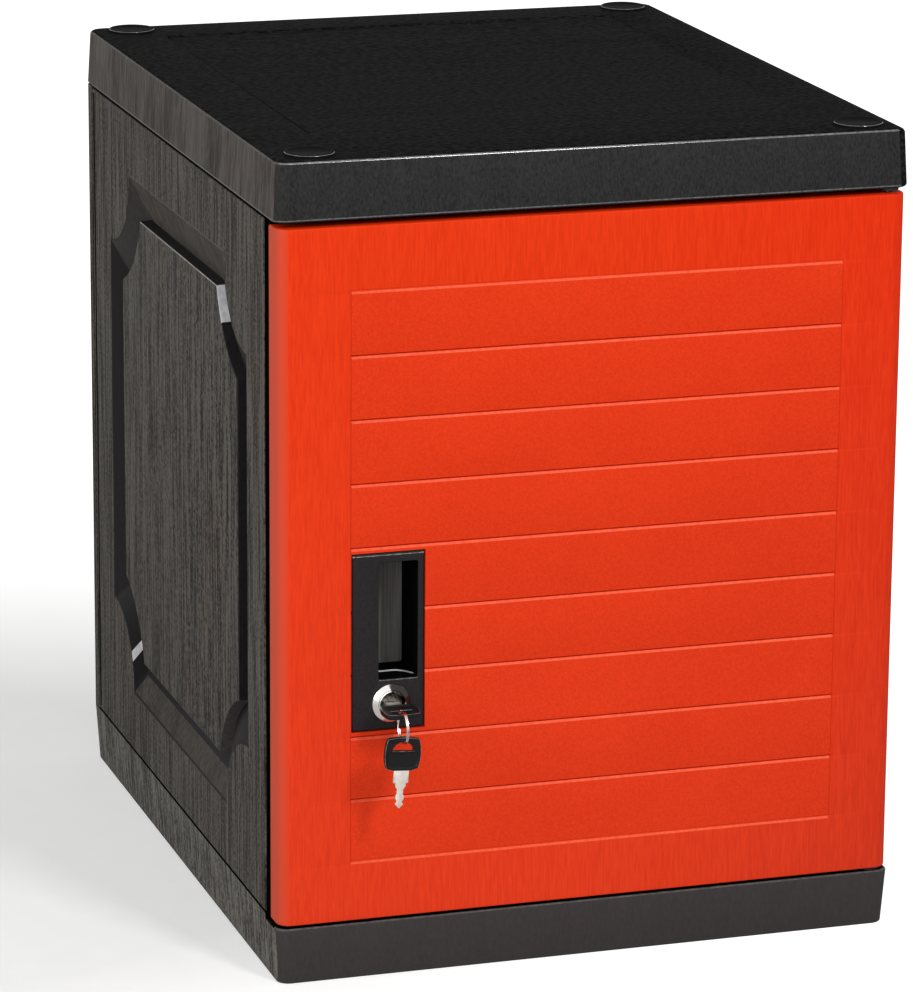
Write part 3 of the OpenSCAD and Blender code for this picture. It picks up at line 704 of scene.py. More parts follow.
@dataclass
class Lid:
    """The lid with its soft edges and its shallow tray."""

    finishes: Finishes
    corner_r: float = 7 * MM
    taper: float = 1.5 * MM
    top_edge_r: float = 2.8 * MM
    right_soften: float = 2.5
    foot_edge_r: float = 2 * MM
    rim_w: float = 16 * MM
    rail_d: float = 28.6 * MM
    rim_h: float = 11 * MM
    wall: float = 5.5 * MM
    deck_t: float = 4 * MM
    tray_side: float = 42 * MM
    tray_front: float = 67 * MM
    tray_back: float = 40 * MM
    tray_r: float = 10 * MM
    tray_slope: float = 1.2 * MM
    tray_depth: float = 1.2 * MM
    foot_line: Span = (1.3 * MM, 1.9 * MM)
    edge_line: Span = (0.9 * MM, 1.9 * MM)
    side_line: Span = (0.9 * MM, 1.5 * MM)
    corner_lean: float = 0.25
    top_lean: float = 0.1
    groove_lean: Span = (0.1, 0.95)
    half_lean: float = 0.5

    def build(self) -> None:
        """Builds the lid."""
        low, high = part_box("top_cap")
        self.low_z, self.high_z = low.z, high.z
        shell = Shell()
        opening = Ring(low.x + self.rim_w, high.x - self.rim_w, low.y + self.rail_d, high.y - self.rim_w,
                       low.z, self.foot_edge_r)
        loops = [
            inset_ring(low, high, self.wall, high.z - self.deck_t, self.wall),
            inset_ring(low, high, self.wall, low.z + self.rim_h, self.wall),
            [p + Vector((0, 0, self.rim_h)) for p in opening.points()],
            opening.points(),
        ]
        for inset, rise in reversed(quarter_round(self.foot_edge_r)):
            loops.append(inset_ring(low, high, inset, low.z + self.foot_edge_r - rise, self.corner_r))
        shoulder = high.z - self.top_edge_r
        for inset, rise in quarter_round(self.top_edge_r):
            side = self.taper + inset
            loops.append(Ring(low.x + side, high.x - self.taper - self.right_soften * inset, low.y + side,
                              high.y - side, shoulder + rise, self.corner_r).points())
        tray = Ring(low.x + self.tray_side, high.x - self.tray_side, low.y + self.tray_front,
                    high.y - self.tray_back, high.z, self.tray_r)
        loops.append(tray.points())
        loops.append(self.tray_floor(tray))
        shell.loft(loops)
        shell.paint(self.face)
        f = self.finishes
        looks = (f.lid_top, f.lid_front, f.lid_side, f.lid_edge, f.soft_line, f.lid_groove)
        shell.finish("lid", "cabinet", looks, ["top_cap"], sharp_deg=35.0)

    def face(self, normal: Vector, centre: Vector) -> CaseFace:
        """Picks the finish of a face.

        Args:
            normal: Where the face looks.
            centre: Where it lies.

        Returns:
            The finish.
        """
        plain = case_face(normal)
        depth, rise = self.high_z - centre.z, centre.z - self.low_z
        # The lid's right-hand edges take the dark top finish, as painted shade.
        right_edge = normal.y < -self.corner_lean or normal.z > self.top_lean
        if centre.x > 0 and normal.x > self.corner_lean and right_edge:
            return CaseFace.FLAT
        # The tray's sloping left edge takes the painted shade.
        if centre.x < 0 and within(normal.x, self.groove_lean) and normal.z > self.half_lean:
            return CaseFace.GROOVE
        # A thin band just under the left top edge takes a painted soft highlight.
        if normal.x < -self.half_lean and within(depth, self.side_line):
            return CaseFace.LINE
        # The foot edge all round and the front and rear top edges take a painted highlight.
        foot_edge = plain is not CaseFace.FLAT and within(rise, self.foot_line)
        top_edge = plain is not CaseFace.SIDE and within(depth, self.edge_line)
        if foot_edge or (top_edge and abs(normal.y) > self.half_lean):
            return CaseFace.EDGE
        return plain

    def tray_floor(self, tray: Ring) -> Loop:
        """Gives the tray's floor, which runs out to nothing towards the front.

        Args:
            tray: The tray's edge.

        Returns:
            The points of the floor's edge.
        """
        s = self.tray_slope
        floor = Ring(tray.x0 + s, tray.x1 - s, tray.y0 + s, tray.y1 - s, tray.z, tray.radius - s)
        length = floor.y1 - floor.y0
        return [p - Vector((0, 0, self.tray_depth * (p.y - floor.y0) / length)) for p in floor.points()]


@dataclass
class Plugs:
    """The round stacking plugs, each with a rolled rim and a dished top."""

    finishes: Finishes
    head_d: float = 29 * MM
    head_h: float = 2 * MM
    stem_share: float = 0.7
    rim_r: float = 0.9 * MM
    dish: float = 0.5 * MM
    lit_band: int = 5
    steps: int = 48

    def circle(self, centre: Vector, radius: float, z: float) -> Loop:
        """Gives a flat circle of points."""
        return [Vector((centre.x + radius * x, centre.y + radius * y, z)) for x, y in spokes(self.steps)]

    def build(self) -> None:
        """Builds the plugs."""
        low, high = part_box("corner_plugs")
        lid_z = high.z - self.head_h
        r = self.head_d / 2
        shell = Shell()
        for x in (low.x + r, high.x - r):
            for y in (low.y + r, high.y - r):
                centre = Vector((x, y, 0))
                loops = [self.circle(centre, r * self.stem_share, z) for z in (low.z, lid_z)]
                loops.append(self.circle(centre, r, lid_z))
                for inset, rise in quarter_round(self.rim_r):
                    loops.append(self.circle(centre, r - inset, high.z - self.rim_r + rise))
                loops.append(self.circle(centre, r - 2 * self.rim_r, high.z))
                loops.append(self.circle(centre, r - 3 * self.rim_r, high.z - self.dish))
                # One band of each rim takes the lid's edge finish, as a painted highlight.
                plain, rim_highlight = 0, 1
                slots = [plain] * (len(loops) + 1)
                slots[self.lit_band] = rim_highlight
                shell.loft(loops, slots)
        looks = (self.finishes.plug, self.finishes.lid_edge)
        shell.finish("plugs", "cabinet", looks, ["corner_plugs"])


@dataclass
class Base:
    """The base with its sill under the door and its hollow underside."""

    finishes: Finishes
    corner_r: float = Lid.corner_r
    taper: float = 2.2 * MM
    sill_drop: float = 3.4 * MM
    sill_edge_r: float = 1.2 * MM
    foot_edge_r: float = 1.0 * MM
    skirt_t: float = 4 * MM
    rim_w: float = Lid.rim_w
    rail_d: float = Lid.rail_d
    rim_h: float = Lid.rim_h
    deck_t: float = Lid.deck_t
    floor_edge_r: float = 0.6 * MM
    seam_w: float = 4 * MM

    def build(self) -> None:
        """Builds the base."""
        low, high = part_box("base_plinth")
        low = Vector((low.x, -high.y, low.z))
        self.panel_front = low.y + self.rail_d - self.skirt_t
        self.sill_z = high.z - self.sill_drop
        shell = Shell()
        wall = self.taper + self.skirt_t
        opening = Ring(low.x + self.rim_w, high.x - self.rim_w, low.y + self.rail_d, high.y - self.rim_w,
                       high.z - self.deck_t, self.skirt_t)
        loops = [opening.points()]
        loops.append([Vector((p.x, p.y, high.z - self.rim_h)) for p in loops[0]])
        loops.append(inset_ring(low, high, wall, high.z - self.rim_h, self.corner_r - self.skirt_t))
        loops.append(inset_ring(low, high, wall, low.z, self.corner_r - self.skirt_t))
        for inset, rise in reversed(quarter_round(self.foot_edge_r)):
            z = low.z + self.foot_edge_r - rise
            loops.append(inset_ring(low, high, self.draft(z, high.z) + inset, z, self.corner_r))
        for inset, rise in quarter_round(self.sill_edge_r):
            z = self.sill_z - self.sill_edge_r + rise
            loops.append(inset_ring(low, high, self.draft(z, high.z) + inset, z, self.corner_r))
        shell.loft(loops)
        shell.paint(self.face)
        floor = self.floor_loops(low, high)
        # Painted shade: the floor's front face and the bands round its edge are near black, so the seam under
        # the side panels reads dark.
        seam, side = CaseFace.LINE, CaseFace.SIDE
        walls = [side] * (len(floor[0]) - 2) + [seam, side]
        shell.loft(floor, [seam, walls] + [seam] * (len(floor) - 2) + [CaseFace.FLAT])
        f = self.finishes
        looks = (f.panel, f.base_front, f.base_side, f.soft_line, f.shade)
        shell.finish("base", "cabinet", looks, ["base_plinth"], sharp_deg=35.0)

    def face(self, normal: Vector, centre: Vector) -> CaseFace:
        """Picks the finish of a face.

        Args:
            normal: Where the face looks.
            centre: Where it lies.

        Returns:
            The finish.
        """
        # The sill's front edge takes a painted soft highlight and the rest of its top edge the painted shade.
        if centre.z > self.sill_z - self.sill_edge_r / 2:
            return CaseFace.EDGE if centre.y < self.panel_front else CaseFace.LINE
        return case_face(normal)

    def draft(self, z: float, top: float) -> float:
        """Gives how far the wall draws in at a height."""
        return self.taper * (1 - z / top)

    def floor_loops(self, low: Vector, high: Vector) -> list[Loop]:
        """Gives the raised floor behind the sill, round at its rear corners and square at the front.

        Args:
            low: Lowest corner of the base.
            high: Highest corner of the base.

        Returns:
            The loops, from the floor's foot to its top.
        """
        loops = []
        foot = self.sill_z - self.sill_edge_r - high.z
        rises = [(0.0, foot)] + [(i, r - self.floor_edge_r) for i, r in quarter_round(self.floor_edge_r)]
        rises.append((self.seam_w, 0.0))
        for inset, rise in rises:
            z = high.z + rise
            side = self.draft(z, high.z) + inset
            ring = Ring(low.x + side, high.x - side, self.panel_front + inset, high.y - side, z,
                        self.corner_r)
            rear = [p for p in ring.points() if p.y > 0]
            loops.append(rear + [Vector((x, ring.y0, z)) for x in (ring.x0, ring.x1)])
        return loops


@dataclass
class SidePanel:
    """A side panel with the notched recess pressed into its face."""

    finishes: Finishes
    side: Side
    recess_front: float = 62.4 * MM
    recess_back: float = 63.8 * MM
    recess_low: float = 78 * MM
    recess_high: float = 74.8 * MM
    notch_r: float = 51 * MM
    channel_w: float = 24.5 * MM
    channel_depth: float = 9.2 * MM
    field_depth: float = 1.5 * MM
    fillet: float = 0.9 * MM
    seam_depth: float = 3 * MM
    foot_seam: float = 0.7 * MM
    head_seam: float = 1.0 * MM
    rear_seam: float = 2 * MM
    rear_line: Span = (2.5 * MM, 6.5 * MM)
    lip_setback: float = 3 * MM
    lip_depth: float = 5.6 * MM
    glint_share: float = 0.34
    deep_from: float = 0.62
    arc_steps: int = 12

    def build(self) -> None:
        """Builds the panel."""
        node = f"{self.side.name.lower()}_side_panel"
        cad_low, cad_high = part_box(node)
        _, base_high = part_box("base_plinth")
        lid_low, lid_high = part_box("top_cap")
        back_low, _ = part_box("back_panel")
        self.outer_x = cad_low.x if self.side is Side.LEFT else cad_high.x
        self.thickness = cad_high.x - cad_low.x
        lip_front = cad_low.y
        self.low = Vector((0, lip_front + self.lip_depth, base_high.z))
        self.high = Vector((0, back_low.y, lid_low.z))
        self.recess_y = (lid_low.y + self.recess_front, lid_high.y - self.recess_back)
        self.recess_z = (self.recess_low, lid_high.z - self.recess_high)
        shell = Shell()
        loops, slots = self.face_loops()
        shell.loft(loops, slots)
        shell.loft(self.lip_loops(lip_front), [PanelFace.SHADE] * 3)
        f = self.finishes
        looks = (f.panel, f.channel, f.black, f.worn, f.glint, f.slope, f.shade, f.notch_wall,
                 f.soft_line, f.notch_lit)
        shell.finish(node.replace("_side", ""), "cabinet", looks, [node], sharp_deg=30.0)

    def at(self, y: float, z: float, depth: float) -> Vector:
        """Gives a point at a depth below the panel's face."""
        return Vector((self.outer_x - self.side.value * depth, y, z))

    def corners(self) -> list[tuple[float, float, tuple[int, int], tuple[int, int]]]:
        """Gives the recess's corners.

        Returns:
            Each corner's place, the way in along one side and the way out along the next.
        """
        (y0, y1), (z0, z1) = self.recess_y, self.recess_z
        return [
            (y0, z0, (0, 1), (1, 0)), (y1, z0, (-1, 0), (0, 1)),
            (y1, z1, (0, -1), (-1, 0)), (y0, z1, (1, 0), (0, -1)),
        ]

    def notched(self, inset: float, depth: float) -> Loop:
        """Gives the recess's outline.

        Args:
            inset: Distance in from the recess's edge.
            depth: Depth below the panel's face.

        Returns:
            The points.
        """
        radius = self.notch_r + inset
        start = math.asin(inset / radius)
        loop = []
        for y, z, way_in, way_out in self.corners():
            for i in range(self.arc_steps + 1):
                angle = start + (math.pi / 2 - 2 * start) * i / self.arc_steps
                across, along = radius * math.cos(angle), radius * math.sin(angle)
                loop.append(self.at(y + across * way_in[0] + along * way_out[0],
                                    z + across * way_in[1] + along * way_out[1], depth))
        return loop

    def rectangle(self, y0: float, y1: float, z0: float, z1: float, depth: float) -> Loop:
        """Gives a rectangle with as many points as the recess's outline.

        Args:
            y0: Front edge.
            y1: Rear edge.
            z0: Lower edge.
            z1: Upper edge.
            depth: Depth below the panel's face.

        Returns:
            The points.
        """
        ends = [(y0, z0), (y1, z0), (y1, z1), (y0, z1)]
        loop = []
        for (y, z, way_in, way_out), (ey, ez) in zip(self.corners(), ends):
            reach_in = self.notch_r + abs((y - ey) * way_in[0] + (z - ez) * way_in[1])
            reach_out = self.notch_r + abs((y - ey) * way_out[0] + (z - ez) * way_out[1])
            for i in range(self.arc_steps + 1):
                t = 2 * i / self.arc_steps
                if t <= 1:
                    step = reach_in * (1 - t)
                    loop.append(self.at(ey + step * way_in[0], ez + step * way_in[1], depth))
                else:
                    step = reach_out * (t - 1)
                    loop.append(self.at(ey + step * way_out[0], ez + step * way_out[1], depth))
        return loop

    def round_about(self, arcs: Sequence[Sequence[int]], sides: Sequence[int]) -> list[int]:
        """Gives a band's slots, from the low front, low rear, high rear and high front arc on to its side."""
        return [slot for arc, side in zip(arcs, sides) for slot in (*arc, side)]

    def face_loops(self) -> tuple[list[Loop], list[int | list[int]]]:
        """Gives the panel from its inner face out to its edges and over its recess.

        Returns:
            The loops, and the material slots of the caps and bands.
        """
        y0, y1, z0, z1 = self.low.y, self.high.y, self.low.z, self.high.z
        f = self.fillet
        rear, foot, head = y1 - self.rear_seam, z0 + self.foot_seam, z1 - self.head_seam
        slope = self.channel_depth / self.channel_w
        wall = self.channel_w
        # Painted light and shade on the panel: dark finishes on the recess's walls, slopes and deep band;
        # pale highlights on the crest and the upper rim; a glint on the left panel's arcs; a lightened wall
        # in the low front arc; and a dark line by the rear seam.
        grain, smooth, black, worn, glint, slope_grain, shade, wall_smooth, soft, lit = PanelFace
        steps = self.arc_steps
        bright = round(steps * self.glint_share)
        shine = glint if self.side is Side.LEFT else smooth
        whole = {face: [face] * steps for face in PanelFace}
        rear_arc = [black] * (bright - 1) + [shine] + [black] * (steps - bright)
        front_arc = [shine] * bright + [smooth] * (steps - bright)
        half = [grain] * (steps // 2)
        dark_half = [shade] * (steps // 2)
        lined_arcs = (whole[grain], half + dark_half, dark_half + half, whole[grain])
        edge_arcs = (whole[smooth], whole[black], whole[smooth], whole[smooth])
        slope_arcs = (whole[smooth], rear_arc, whole[wall_smooth], whole[smooth])
        wall_arcs = (whole[lit], whole[black], whole[black], front_arc)
        lined = self.round_about(lined_arcs, (grain, shade, grain, grain))
        edge = self.round_about(edge_arcs, (black, smooth, soft, smooth))
        rim = self.round_about(slope_arcs, (black, smooth, slope_grain, smooth))
        slopes = self.round_about(slope_arcs, (slope_grain, smooth, slope_grain, smooth))
        deep = self.round_about(slope_arcs, (smooth, smooth, slope_grain, smooth))
        walls = self.round_about(wall_arcs, (black, black, black, smooth))
        crest = self.round_about(wall_arcs, (black, black, worn, smooth))
        line_near, line_far = (rear - inset for inset in self.rear_line)
        # The rounded edges are drawn in shares of the fillet's radius.
        rows = [
            (self.rectangle(y0, y1, z0, z1, self.thickness), grain),
            (self.rectangle(y0, y1, z0, z1, self.seam_depth), shade),
            (self.rectangle(y0, rear, foot, head, self.seam_depth), shade),
            (self.rectangle(y0, rear, foot, head, f), grain),
            (self.rectangle(y0 + 0.3 * f, rear - 0.3 * f, foot + 0.3 * f, head - 0.3 * f, 0.3 * f), grain),
            (self.rectangle(y0 + f, rear - f, foot + f, head - f, 0), grain),
            (self.rectangle(y0 + 2 * f, line_near, foot + 2 * f, head - 2 * f, 0), lined),
            (self.rectangle(y0 + 3 * f, line_far, foot + 3 * f, head - 3 * f, 0), grain),
            (self.notched(-f, 0), edge),
            (self.notched(0, 0.3 * f * slope), rim),
            (self.notched(f, f * slope), slopes),
            (self.notched(self.deep_from * wall, self.deep_from * wall * slope), deep),
            (self.notched(wall - 1.5 * f, (wall - 1.5 * f) * slope), deep),
            (self.notched(wall - 0.4 * f, self.channel_depth - 0.25 * f), walls),
            (self.notched(wall, self.channel_depth - f), walls),
            (self.notched(wall + 0.2 * f, self.field_depth + f), walls),
            (self.notched(wall + 0.5 * f, self.field_depth + 0.35 * f), crest),
            (self.notched(wall + 1.2 * f, self.field_depth), grain),
        ]
        loops = [loop for loop, _ in rows]
        return loops, [grain] + [slot for _, slot in rows]

    def lip_loops(self, lip_front: float) -> list[Loop]:
        """Gives the stop lip along the panel's front edge.

        Args:
            lip_front: Front of the lip.

        Returns:
            The loops, from its foot to its head.
        """
        def outline(z: float) -> Loop:
            """Gives the lip's section at a height."""
            ends = ((self.lip_setback, lip_front), (self.thickness, lip_front),
                    (self.thickness, self.low.y), (self.lip_setback, self.low.y))
            return [self.at(y, z, depth) for depth, y in ends]
        return [outline(self.low.z), outline(self.high.z)]


@dataclass(frozen=True)
class Level:
    """One level of the door's skin."""

    z: float
    inset: float = 0.0
    groove: float = 0.0
    liner_open: bool = True
    look: DoorFace = DoorFace.PLANK


@dataclass
class Door:
    """The door's shell: pressed planks, rounded edges and the opening for the handle plate."""

    finishes: Finishes
    edge_r: float = 8 * MM
    end_r: float = 1.0 * MM
    rim_t: float = 3.6 * MM
    liner_t: float = 2.8 * MM
    plank_left: float = 43.8 * MM
    plank_right: float = 39.6 * MM
    plank_top: float = 37.6 * MM
    plank_bottom: float = 36.7 * MM
    planks: int = 9
    plank_end: float = 0.7 * MM
    plate_w: float = 44.7 * MM
    plate_low: float = 115.4 * MM
    plate_h: float = 108 * MM
    # Each step is a rise and a depth in mm and the finish of the band above it: painted light on the groove's
    # upward lower wall, painted shade in its floor and upper wall.
    groove: tuple[tuple[float, float, DoorFace], ...] = (
        (-2.3, 0.0, DoorFace.PLANK), (-1.9, 0.06, DoorFace.LIGHT), (-1.4, 0.3, DoorFace.LIGHT),
        (-0.5, 1.0, DoorFace.DARK), (0.15, 0.95, DoorFace.DARK), (0.5, 0.15, DoorFace.PLANK),
        (0.9, 0.0, DoorFace.PLANK))
    end_groove_share: float = 0.5
    front_lean: float = 0.99
    back_lean: float = 0.5
    round_lean: float = 0.35
    arc_steps: int = 8

    def build(self) -> None:
        """Builds the shell."""
        self.low, self.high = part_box("door_shell")
        self.depth = self.high.y - self.low.y
        self.hinge_x = self.high.x - self.depth / 2
        self.plank_x = (self.low.x + self.plank_left, self.high.x - self.plank_right)
        self.plate_x1 = self.plank_x[0] + self.plate_w
        self.plate_z = (self.low.z + self.plate_low, self.low.z + self.plate_low + self.plate_h)
        self.plank_z = (self.low.z + self.plank_bottom, self.high.z - self.plank_top)
        shell = Shell()
        columns = self.columns()
        rows = self.rows()
        grid = [[shell.mesh.verts.new(self.point(c, r)) for c in columns] for r in rows]
        self.skin(shell, grid, columns, rows)
        self.reveal(shell)
        f = self.finishes
        looks = (f.door_frame, f.planks, f.groove_light, f.groove_dark, f.plank_seam, f.door_round)
        shell.finish("door", "door", looks, ["door_shell"], sharp_deg=30.0)

    def columns(self) -> list[tuple[Vector, Vector]]:
        """Gives the door's outline in plan, from the back of its free edge round its front to its back.

        Returns:
            Points of the outline, each with the way out of the door there.
        """
        low, high, r = self.low, self.high, self.edge_r
        left, front, right, back = Vector((-1, 0)), Vector((0, -1)), Vector((1, 0)), Vector((0, 1))
        liner_y = high.y - self.liner_t
        stile_x = self.hinge_x - self.depth / 2
        free_x = low.x + self.rim_t
        columns = [(Vector((low.x, high.y)), left)]
        columns += self.arc(Vector((low.x + r, low.y + r)), r, 180)
        for x in (self.plank_x[0] - self.plank_end, self.plank_x[0], self.plate_x1, self.plank_x[1],
                  self.plank_x[1] + self.plank_end):
            columns.append((Vector((x, low.y)), front))
        columns += self.arc(Vector((high.x - r, low.y + r)), r, 270)
        columns += self.arc(Vector((self.hinge_x, low.y + self.depth / 2)), self.depth / 2, 0)
        columns.append((Vector((stile_x, high.y)), back))
        for x in (stile_x, self.plate_x1, self.plank_x[0], free_x):
            columns.append((Vector((x, liner_y)), back))
        columns.append((Vector((free_x, high.y)), back))
        return columns

    def arc(self, centre: Vector, radius: float, start_deg: float) -> list[tuple[Vector, Vector]]:
        """Gives a quarter turn of the outline.

        Args:
            centre: The arc's centre in plan.
            radius: The arc's radius.
            start_deg: Where the arc starts, anticlockwise from +X.

        Returns:
            Points of the arc, each with the way out of the door there.
        """
        turns = [math.radians(start_deg + 90 * i / self.arc_steps) for i in range(self.arc_steps + 1)]
        ways = [Vector((math.cos(a), math.sin(a))) for a in turns]
        return [(centre + radius * way, way) for way in ways]

    def rows(self) -> list[Level]:
        """Gives the door's levels.

        Returns:
            The levels, from the foot up, each with the look of the band above it.
        """
        z0, z1 = self.low.z, self.high.z
        foot = [Level(z0 + self.end_r - rise, inset, liner_open=False)
                for inset, rise in reversed(quarter_round(self.end_r))]
        head = [Level(z1 - self.end_r + rise, inset, liner_open=False)
                for inset, rise in quarter_round(self.end_r)]
        middle = [Level(z0 + self.rim_t), Level(z1 - self.rim_t)]
        pitch = (self.plank_z[1] - self.plank_z[0]) / self.planks
        for i in range(self.planks + 1):
            level = self.plank_z[0] + i * pitch
            at_end = i in (0, self.planks)
            share = self.end_groove_share if at_end else 1.0
            for rise, depth, look in self.groove:
                # The top and bottom grooves, half as deep, keep the plank finish where the others are painted
                # shade.
                shown = DoorFace.PLANK if at_end and look is DoorFace.DARK else look
                middle.append(Level(level + rise * MM, groove=depth * share * MM, look=shown))
        middle.sort(key=lambda row: row.z)
        for z in self.plate_z:
            below = [row for row in middle if row.z < z][-1]
            above = [row for row in middle if row.z > z][0]
            share = (z - below.z) / (above.z - below.z)
            groove = below.groove + (above.groove - below.groove) * share
            middle.insert(middle.index(above), Level(z, groove=groove, look=below.look))
        shut = [Level(z, liner_open=False) for z in (z0 + self.rim_t, z1 - self.rim_t)]
        return [*foot, shut[0], *middle, shut[1], *head]

    def point(self, column: tuple[Vector, Vector], row: Level) -> Vector:
        """Gives a point of the door's skin.

        Args:
            column: A point of the outline and the way out there.
            row: A level.

        Returns:
            The point.
        """
        (x, y), way = column
        if y > self.low.y + self.depth / 2 and way.y > self.back_lean and not row.liner_open:
            y = self.high.y
        if way.y < -self.front_lean and self.plank_x[0] - HAIR < x < self.plank_x[1] + HAIR:
            y += row.groove
        return Vector((x - way.x * row.inset, y - way.y * row.inset, row.z))

    def skin(self, shell: Shell, grid: list[list[bmesh.types.BMVert]],
             columns: list[tuple[Vector, Vector]], rows: list[Level]) -> None:
        """Joins the points into the door's skin and leaves the handle's opening free.

        Args:
            shell: The mesh.
            grid: Its points, level by level.
            columns: The outline.
            rows: The levels.
        """
        count = len(columns)
        for low, high, low_row, high_row in zip(grid, grid[1:], rows, rows[1:]):
            level = (low_row.z + high_row.z) / 2
            for i in range(count):
                j = (i + 1) % count
                x0, x1 = sorted((columns[i][0].x, columns[j][0].x))
                in_plate = self.plank_x[0] - HAIR < x0 and x1 < self.plate_x1 + HAIR
                if in_plate and within(level, self.plate_z):
                    continue
                face = shell.mesh.faces.new((low[i], low[j], high[j], high[i]))
                way = columns[i][1]
                if way.y < -self.front_lean:
                    face.material_index = self.look(x0, x1, level, low_row.look)
                # The free edge's rounding takes the painted sheen.
                elif way.x < -self.round_lean:
                    face.material_index = DoorFace.ROUND
        shell.mesh.faces.new(grid[0])
        shell.mesh.faces.new(grid[-1])

    def look(self, x0: float, x1: float, level: float, band: DoorFace) -> DoorFace:
        """Picks the finish of a face in the door's front.

        Args:
            x0: The face's left edge.
            x1: The face's right edge.
            level: The height of its middle.
            band: The look of its band.

        Returns:
            The finish.
        """
        pressed = within(level, self.plank_z)
        if self.plank_x[0] - HAIR < x0 and x1 < self.plank_x[1] + HAIR:
            return band if pressed or band is not DoorFace.PLANK else DoorFace.FRAME
        beside = x1 - x0 < self.plank_end + HAIR
        return DoorFace.SEAM if beside and pressed else DoorFace.FRAME

    def reveal(self, shell: Shell) -> None:
        """Joins the handle's opening in the front with the one in the back."""
        bmesh.ops.bridge_loops(shell.mesh, edges=[e for e in shell.mesh.edges if e.is_boundary])


@dataclass
class Handle:
    """The handle plate with its finger pocket."""

    finishes: Finishes
    plate_left: float = Door.plank_left
    plate_low: float = Door.plate_low
    plate_w: float = Door.plate_w
    plate_h: float = Door.plate_h
    gap: float = 0.5 * MM
    corner_r: float = 1.2 * MM
    edge_r: float = 1.6 * MM
    pocket_left: float = 16.7 * MM
    pocket_low: float = 31 * MM
    pocket_w: float = 23.7 * MM
    pocket_h: float = 70.6 * MM
    cup_wall: float = 2 * MM
    skin_t: float = 3.2 * MM
    mouth_r: float = 0.6 * MM
    mouth_line: float = 0.6
    top_line: Span = (0.1, 0.3)
    ridge_r: float = 0.7 * MM
    ridge_at: float = 16 * MM
    ridge_bend: float = 0.55
    ridge_end: float = 7 * MM
    ridge_steps: int = 24
    ridge_sides: int = 8

    def build(self) -> None:
        """Builds the plate."""
        door_low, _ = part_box("door_shell")
        cad_low, cad_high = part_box("handle_cup")
        x0 = door_low.x + self.plate_left
        z0 = door_low.z + self.plate_low
        plate = (x0 + self.gap, x0 + self.plate_w - self.gap, z0 + self.gap, z0 + self.plate_h - self.gap)
        px, pz = x0 + self.pocket_left, z0 + self.pocket_low
        pocket = (px, px + self.pocket_w, pz, pz + self.pocket_h)
        face = cad_low.y
        back = cad_high.y
        seat = door_low.y + self.skin_t
        loops = [self.loop(pocket, -self.cup_wall, back), self.loop(pocket, -self.cup_wall, seat),
                 self.loop(plate, 0, seat)]
        loops += [self.loop(plate, inset, face + self.edge_r - rise)
                  for inset, rise in quarter_round(self.edge_r, steps=6)]
        loops += [self.loop(pocket, inset - self.mouth_r, face + self.mouth_r - rise)
                  for inset, rise in self.mouth()]
        loops.append(self.loop(pocket, 0, back - self.cup_wall))
        shell = Shell()
        shell.loft(loops)
        self.face_y, self.back_y, self.pocket = face, back - self.cup_wall, pocket
        shell.paint(self.face)
        # The ridge takes the painted glint.
        shell.loft(self.ridge_loops(pocket, face), [HandleFace.RIDGE] * (self.ridge_steps + 2))
        f = self.finishes
        looks = (f.handle, f.pocket, f.shade, f.glint, f.worn)
        shell.finish("handle", "door", looks, ["handle_cup"], sharp_deg=30.0)

    def face(self, normal: Vector, centre: Vector) -> HandleFace:
        """Picks the finish of a face.

        Args:
            normal: Where the face looks.
            centre: Where it lies.

        Returns:
            The finish.
        """
        x0, x1, z0, z1 = self.pocket
        if x0 - HAIR < centre.x < x1 + HAIR and z0 - HAIR < centre.z < z1 + HAIR:
            if abs(centre.y - self.back_y) < HAIR:
                return HandleFace.BACK
            # The pocket's side walls take the painted shade.
            inside = within(centre.y, (self.face_y + self.mouth_r, self.back_y))
            return HandleFace.WALL if inside else HandleFace.PLATE
        # The plate's top edge and the lower edge of the pocket's mouth take a painted highlight.
        on_top = within(normal.z, self.top_line) and normal.y < 0 and centre.z > z1
        below_mouth = within(centre.z, (z0 - self.mouth_r, z0 - self.mouth_line * self.mouth_r))
        on_mouth = below_mouth and x0 < centre.x < x1
        return HandleFace.LINE if on_top or on_mouth else HandleFace.PLATE

    def ridge_loops(self, pocket: tuple[float, float, float, float], face: float) -> list[Loop]:
        """Gives the low ridge on the pocket's floor, which bends forward at its right end.

        Args:
            pocket: The pocket's left, right, lower and upper edges.
            face: Front of the plate.

        Returns:
            The loops, from the ridge's left end to its right end.
        """
        x0, x1, z0, _ = pocket
        ways = spokes(self.ridge_sides)
        r = self.ridge_r
        loops = []
        for i in range(self.ridge_steps + 1):
            t = i / self.ridge_steps
            bend = max(0.0, (t - self.ridge_bend) / (1 - self.ridge_bend))
            x = x0 + r + (x1 - x0 - 2 * r) * t
            y = face + self.ridge_at + (self.ridge_end - self.ridge_at) * bend * bend
            loops.append([Vector((x, y + r * forward, z0 + r * up)) for forward, up in ways])
        return loops

    def mouth(self) -> list[tuple[float, float]]:
        """Gives the rounded edge of the pocket's mouth, from the plate's face inwards."""
        return [(self.mouth_r - inset, rise) for inset, rise in reversed(quarter_round(self.mouth_r))]

    def loop(self, rectangle: tuple[float, float, float, float], inset: float, y: float) -> Loop:
        """Gives an upright rounded rectangle.

        Args:
            rectangle: Its left, right, lower and upper edges.
            inset: Distance in from those edges.
            y: Its place along the door's depth.

        Returns:
            The points.
        """
        x0, x1, z0, z1 = rectangle
        flat = Ring(x0 + inset, x1 - inset, z0 + inset, z1 - inset, 0, self.corner_r).points(steps=4)
        return [Vector((p.x, y, p.y)) for p in flat]


